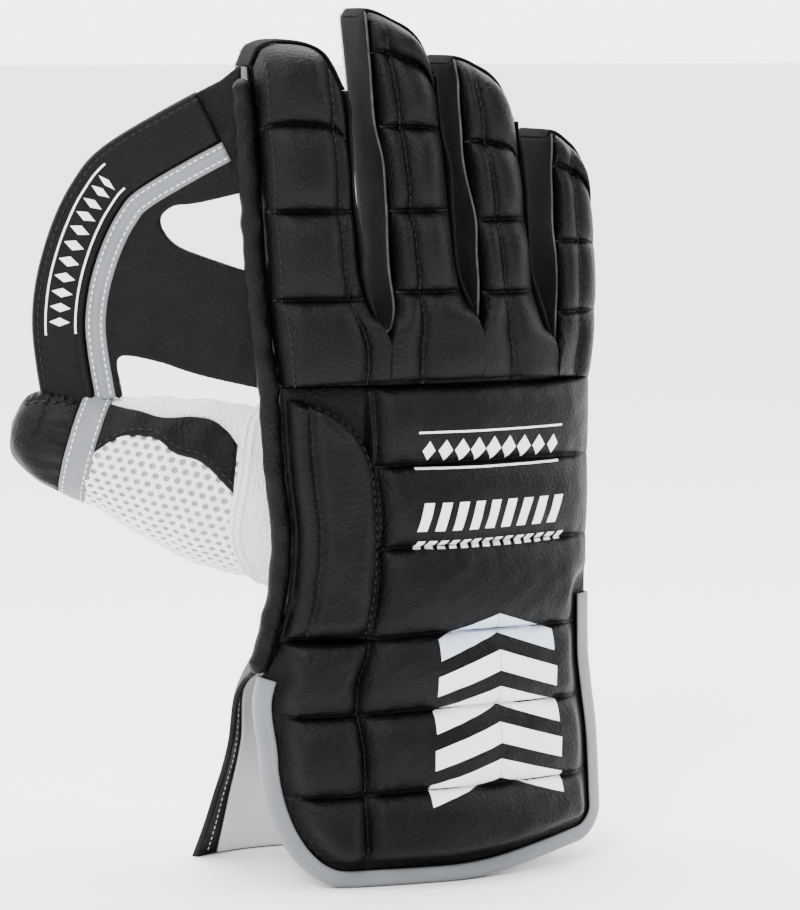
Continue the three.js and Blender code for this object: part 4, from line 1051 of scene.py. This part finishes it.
def pimple_group():
    """Low domes spread evenly over a surface, standing on its normals."""
    tree, given = group("pimples_on_surface", [("Spacing", "NodeSocketFloat"), ("Dome", "NodeSocketVector"),
                                               ("Seed", "NodeSocketInt"), ("Finish", "NodeSocketMaterial")])
    spread = add(tree, "GeometryNodeDistributePointsOnFaces", {"distribute_method": "POISSON"},
                 Mesh=given["Geometry"], Distance_Min=given["Spacing"], Seed=given["Seed"])
    spread.inputs["Density Max"].default_value = 1.5e6
    dome = add(tree, "GeometryNodeMeshIcoSphere", {"Subdivisions": 1, "Radius": 1.0})
    shaped = add(tree, "GeometryNodeTransform", Geometry=dome.outputs["Mesh"], Scale=given["Dome"])
    many = add(tree, "GeometryNodeInstanceOnPoints", Points=spread.outputs["Points"], Instance=shaped.outputs[0],
               Rotation=spread.outputs["Rotation"])
    finish_group(tree, many.outputs[0], given["Finish"])
    return tree


def sew_all():
    tree = stitch_group()
    for kind, finish, size, pitch, slot in (
        ("black", THREAD_BLACK, (1.35, 0.36, 0.36), 0.0034, "black_leather"),
        ("white", THREAD_WHITE, (0.95, 0.3, 0.3), 0.0026, "palm"),
    ):
        points, edges = [], []
        for line in threads[kind]:
            start = len(points)
            points += ((line + ORIGIN) / 1000).tolist()
            edges += [(start + k, start + k + 1) for k in range(len(line) - 1)]
        mesh = bpy.data.meshes.new(kind + "_stitches")
        mesh.from_pydata(points, edges, [])
        obj = bpy.data.objects.new(kind + "_stitches", mesh)
        bpy.context.collection.objects.link(obj)
        use(obj, tree, {"Pitch": pitch, "Stitch": [v / 1000 for v in size], "Finish": finish})
        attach(obj, "root")


def pimples():
    tree = pimple_group()
    for name, spacing, dome, seed in (
        ("thumb_collar_leather", 1.5, (0.55, 0.55, 0.4), 3),
        ("thumb_palm_leather", 1.6, (0.55, 0.55, 0.4), 4),
        ("palm_shell", 3.0, (0.9, 0.9, 0.45), 5),
        ("index_palm_leather", 3.0, (0.9, 0.9, 0.45), 6),
        ("middle_palm_leather", 3.0, (0.9, 0.9, 0.45), 7),
        ("ring_palm_leather", 3.0, (0.9, 0.9, 0.45), 8),
        ("little_palm_leather", 3.0, (0.9, 0.9, 0.45), 9),
    ):
        base = bpy.data.objects[name]
        obj = bpy.data.objects.new(name.replace("leather", "pimples").replace("shell", "pimples"), base.data.copy())
        bpy.context.collection.objects.link(obj)
        use(obj, tree, {"Spacing": spacing / 1000, "Dome": [v / 1000 for v in dome], "Seed": seed,
                        "Finish": PALM_WHITE})
        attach(obj, "root")


# Web.
WEB_ALONG = np.array([-math.cos(math.radians(WEB_TURN)), math.sin(math.radians(WEB_TURN)), 0])
WEB_NORMAL = np.cross(WEB_ALONG, [0, 0, 1.0])
web_out = table(range(9), np.array(WEB_OUT) * WEB_SPAN)
web_up = table(range(9), WEB_TOP - WEB_HEIGHT + np.array(WEB_UP) * WEB_HEIGHT)


def web_flat(t, inset):
    """The web's plane: a share along its outer edge and a distance in from it."""
    step = 1e-3
    a, b = np.clip(t - step, 0, 1) * 8, np.clip(t + step, 0, 1) * 8
    way = np.stack([web_out(b) - web_out(a), web_up(b) - web_up(a)], -1)
    way /= np.linalg.norm(way, axis=-1, keepdims=True)
    return web_out(t * 8) + way[..., 1] * inset, web_up(t * 8) - way[..., 0] * inset


def web_point(u, v, off):
    """Off is the distance off the web's middle, towards the palm."""
    bulge = 1.6 * np.sin(share(u, 0, WEB_SPAN) * math.pi) + 0.5 * ripple(u, v, 34, 91)
    return WEB_START + WEB_ALONG * np.asarray(u)[..., None] + WEB_NORMAL * (np.asarray(off) - bulge)[..., None] \
        + np.array([0, 0, 1.0]) * np.asarray(v)[..., None]


FRONT = -1 if WEB_NORMAL[1] > 0 else 1


def web():
    # The panel is remeshed finely, so that it can bulge and crease.
    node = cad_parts["web_panel"]
    obj = bpy.data.objects.new("web_panel_leather", node.data.copy())
    bpy.context.collection.objects.link(obj)
    remesh = obj.modifiers.new("remesh", "REMESH")
    remesh.mode, remesh.voxel_size, remesh.use_smooth_shade = "VOXEL", 0.0008, True
    ease = obj.modifiers.new("ease", "SMOOTH")
    ease.iterations, ease.factor = 4, 0.5
    bake(obj)
    co = np.array([v.co for v in obj.data.vertices]) * 1000 - ORIGIN
    flat = co - WEB_START
    u, off, v = flat @ WEB_ALONG, flat @ WEB_NORMAL, co[:, 2]
    moved = web_point(u, v, off) + WEB_NORMAL * (0.35 * ripple(u, v, 12, 92))[:, None]
    obj.data.vertices.foreach_set("co", ((moved + ORIGIN) / 1000).ravel())
    obj.data.materials.clear()
    obj.data.materials.append(LEATHER_BLACK)
    obj.data.update()
    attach(obj, "root")
    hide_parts("web_panel")
    # The band along the outer edge, and the grey tape inside it.
    start = 0.075
    for name, node, finish, slot, a, b, low, high in (
        ("web_band_leather", "web_band", LEATHER_BLACK, "black_leather", -0.3, 20.8, 1.4, 3.8),
        ("web_tape", "web_strip", TAPE_GREY, "grey_tape", 21.2, 29.3, 1.4, 2.8),
    ):
        t, w = np.meshgrid(np.linspace(start, 0.985, 170), np.linspace(0, 1, 34), indexing="ij")
        u, v = web_flat(t, mix(a, b, w))
        near = np.minimum(w, 1 - w) * (b - a)
        lift = mix(low + 0.5, high, edge_fall(near, 2.5)) + 0.25 * ripple(u, v, 13, 93) * share(near, 0, 3)
        crease = 0.5 * np.exp(-((np.abs(near - 2.6) / 0.7) ** 2))
        top = web_point(u, v, FRONT * (lift - crease))
        points, faces, _ = slab(top, web_point(u, v, FRONT * np.full_like(u, low)))
        put(name, points, faces, finish, [node])
    line = np.linspace(start + 0.005, 0.97, 200)
    for kind, inset, off in (("black", 2.6, 3.45), ("white", 22.9, 2.8), ("white", 27.7, 2.8)):
        u, v = web_flat(line, np.full(200, inset))
        sew(kind, web_point(u, v, FRONT * np.full(200, off)))


# Printed motifs: thin raised shapes that follow the surface they lie on.
def motif(corners, at, finish, name, columns=14, rows=14):
    """A printed quadrilateral: at(a, b, lift) places a point of the surface."""
    b, a = np.meshgrid(np.linspace(0, 1, rows), np.linspace(0, 1, columns), indexing="ij")
    (x0, z0), (x1, z1), (x2, z2), (x3, z3) = corners
    x = mix(mix(x0, x1, a), mix(x3, x2, a), b)
    z = mix(mix(z0, z1, a), mix(z3, z2, a), b)
    points, faces, _ = slab(at(x, z, 0.22), at(x, z, -0.3))
    prints.append((name, points, faces, finish))


prints = []


def on_panel(x, z, lift):
    t = (x - panel_edge(0, z)) / (panel_edge(1, z) - panel_edge(0, z))
    return panel_surface(t, z, lift)


def on_web(s, w, lift):
    u, v = web_flat(s, w)
    near = np.minimum(w, 20.8 - w)
    base = mix(1.9, 3.8, edge_fall(near, 2.5)) + 0.25 * ripple(u, v, 13, 93) * share(near, 0, 3)
    return web_point(u, v, FRONT * (base + lift))


def print_all():
    # Small label: a row of diamonds between two thin lines.
    for k in range(9):
        x, z, r = -5.5 + 6.7 * k, 169.5, 2.6 + 0.6 * math.sin(k * math.pi / 8)
        motif([(x - r, z), (x, z - 1.5 * r), (x + r, z), (x, z + 1.5 * r)], on_panel, PRINT_WHITE, "label", 9, 9)
    for z in (162.4, 176.8):
        motif([(-10, z - 0.4), (52, z - 0.4), (52, z + 0.4), (-10, z + 0.4)], on_panel, PRINT_WHITE, "label", 80, 3)
    # Second label: slanted bars, with a row of short dashes under them.
    for k in range(9):
        x = -10.5 + 7.0 * k
        motif([(x, 138.5), (x + 3.9, 138.5), (x + 6.9, 149.5), (x + 3, 149.5)], on_panel, PRINT_WHITE, "label", 8, 18)
    for k in range(14):
        x = -10.5 + 4.7 * k
        motif([(x, 131), (x + 3, 131), (x + 4, 134.4), (x + 1, 134.4)], on_panel, PRINT_WHITE, "label", 6, 7)
    # Emblem: a stack of chevrons on the lower ribs, the top one pale blue.
    for k in range(5):
        z = 31 + 14.2 * k
        finish = PRINT_BLUE if k == 4 else PRINT_WHITE
        half = 29 - 1.0 * k
        for side in (-1, 1):
            corners = [(24, z + 9), (24 + side * half, z), (24 + side * half, z + 8), (24, z + 17)]
            motif(corners, on_panel, finish, "emblem", 48, 26)
    # The web's band: diamonds along the curve between two thin lines.
    for k in range(11):
        s = 0.3 + 0.045 * k
        motif([(s - 0.014, 11.4), (s, 7.2), (s + 0.014, 11.4), (s, 15.6)], on_web, PRINT_WHITE, "web", 8, 8)
    for w in (5.3, 17.3):
        motif([(0.26, w), (0.79, w), (0.79, w + 0.8), (0.26, w + 0.8)], on_web, PRINT_WHITE, "web", 110, 3)
    for name, finish in (("label", PRINT_WHITE), ("emblem", PRINT_WHITE), ("emblem", PRINT_BLUE), ("web", PRINT_WHITE)):
        chosen = [p for p in prints if p[0] == name and p[3] == finish]
        points, faces, start = [], [], 0
        for _, p, f, _ in chosen:
            points.append(p)
            faces.append(f + start)
            start += len(p)
        put(f"{name}_{finish.name}", np.concatenate(points), np.concatenate(faces), finish)


back_panel()
side_pad()
finger_pads()
finger_walls()
finger_faces()
palm_shell()
cuff_back()
binding()
edge_roll()
thumb()
perforated_mesh()
web()
print_all()
sew_all()
pimples()


# Floor, light and camera.
def studio():
    mesh = bpy.data.meshes.new("floor")
    mesh.from_pydata([(-40, -40, 0), (40, -40, 0), (40, 40, 0), (-40, 40, 0)], [], [(0, 1, 2, 3)])
    floor = bpy.data.objects.new("floor", mesh)
    bpy.context.collection.objects.link(floor)
    mat = bpy.data.materials.new("pale_floor")
    mat.use_nodes = True
    shade = mat.node_tree.nodes["Principled BSDF"]
    shade.inputs["Base Color"].default_value = colour("#fafafa")
    shade.inputs["Roughness"].default_value = 0.8
    mesh.materials.append(mat)
    # A studio that is bright behind the glove and dimmer in front, so that black leather keeps its depth.
    world = bpy.data.worlds.new("studio")
    world.use_nodes = True
    tree = world.node_tree
    towards = add(tree, "ShaderNodeVectorMath", {"operation": "DOT_PRODUCT"})
    tree.links.new(add(tree, "ShaderNodeTexCoord").outputs["Generated"], towards.inputs[0])
    towards.inputs[1].default_value = (0, 1.0, 0.75)
    fade = {"From Min": -0.1, "From Max": 0.6, "To Min": 0.3, "To Max": 5.0, "interpolation_type": "SMOOTHSTEP"}
    bright = add(tree, "ShaderNodeMapRange", fade, Value=towards.outputs["Value"])
    tree.links.new(bright.outputs["Result"], tree.nodes["Background"].inputs["Strength"])
    tree.nodes["Background"].inputs["Color"].default_value = colour("#f6f7f8")
    bpy.context.scene.world = world
    for name, place, size, power in (
        ("key", (-1.0, -1.2, 1.5), 0.7, 46),
        ("side", (1.4, -0.6, 0.9), 0.6, 18),
        ("top", (0.1, 0.3, 1.7), 1.0, 22),
    ):
        lamp = bpy.data.lights.new(name, "AREA")
        lamp.energy, lamp.size = power, size
        obj = bpy.data.objects.new(name, lamp)
        bpy.context.collection.objects.link(obj)
        obj.location = place
        obj.rotation_mode = "QUATERNION"
        obj.rotation_quaternion = (Vector((0, 0, 0.17)) - Vector(place)).to_track_quat("-Z", "Y")


def camera():
    turn, rise, distance = math.radians(-18), math.radians(7), 1.3
    right = Vector((math.cos(turn), math.sin(turn), 0))
    back = Vector((math.sin(turn) * math.cos(rise), -math.cos(turn) * math.cos(rise), math.sin(rise)))
    pivot = Vector((0.0386, -0.0394, 0.1679)) - right * 0.0165
    data = bpy.data.cameras.new("camera")
    data.lens, data.sensor_width = 134.3, 36
    obj = bpy.data.objects.new("camera", data)
    bpy.context.collection.objects.link(obj)
    obj.location = pivot + back * distance
    obj.rotation_mode = "QUATERNION"
    obj.rotation_quaternion = (-back).to_track_quat("-Z", "Y")
    bpy.context.scene.camera = obj


studio()
camera()
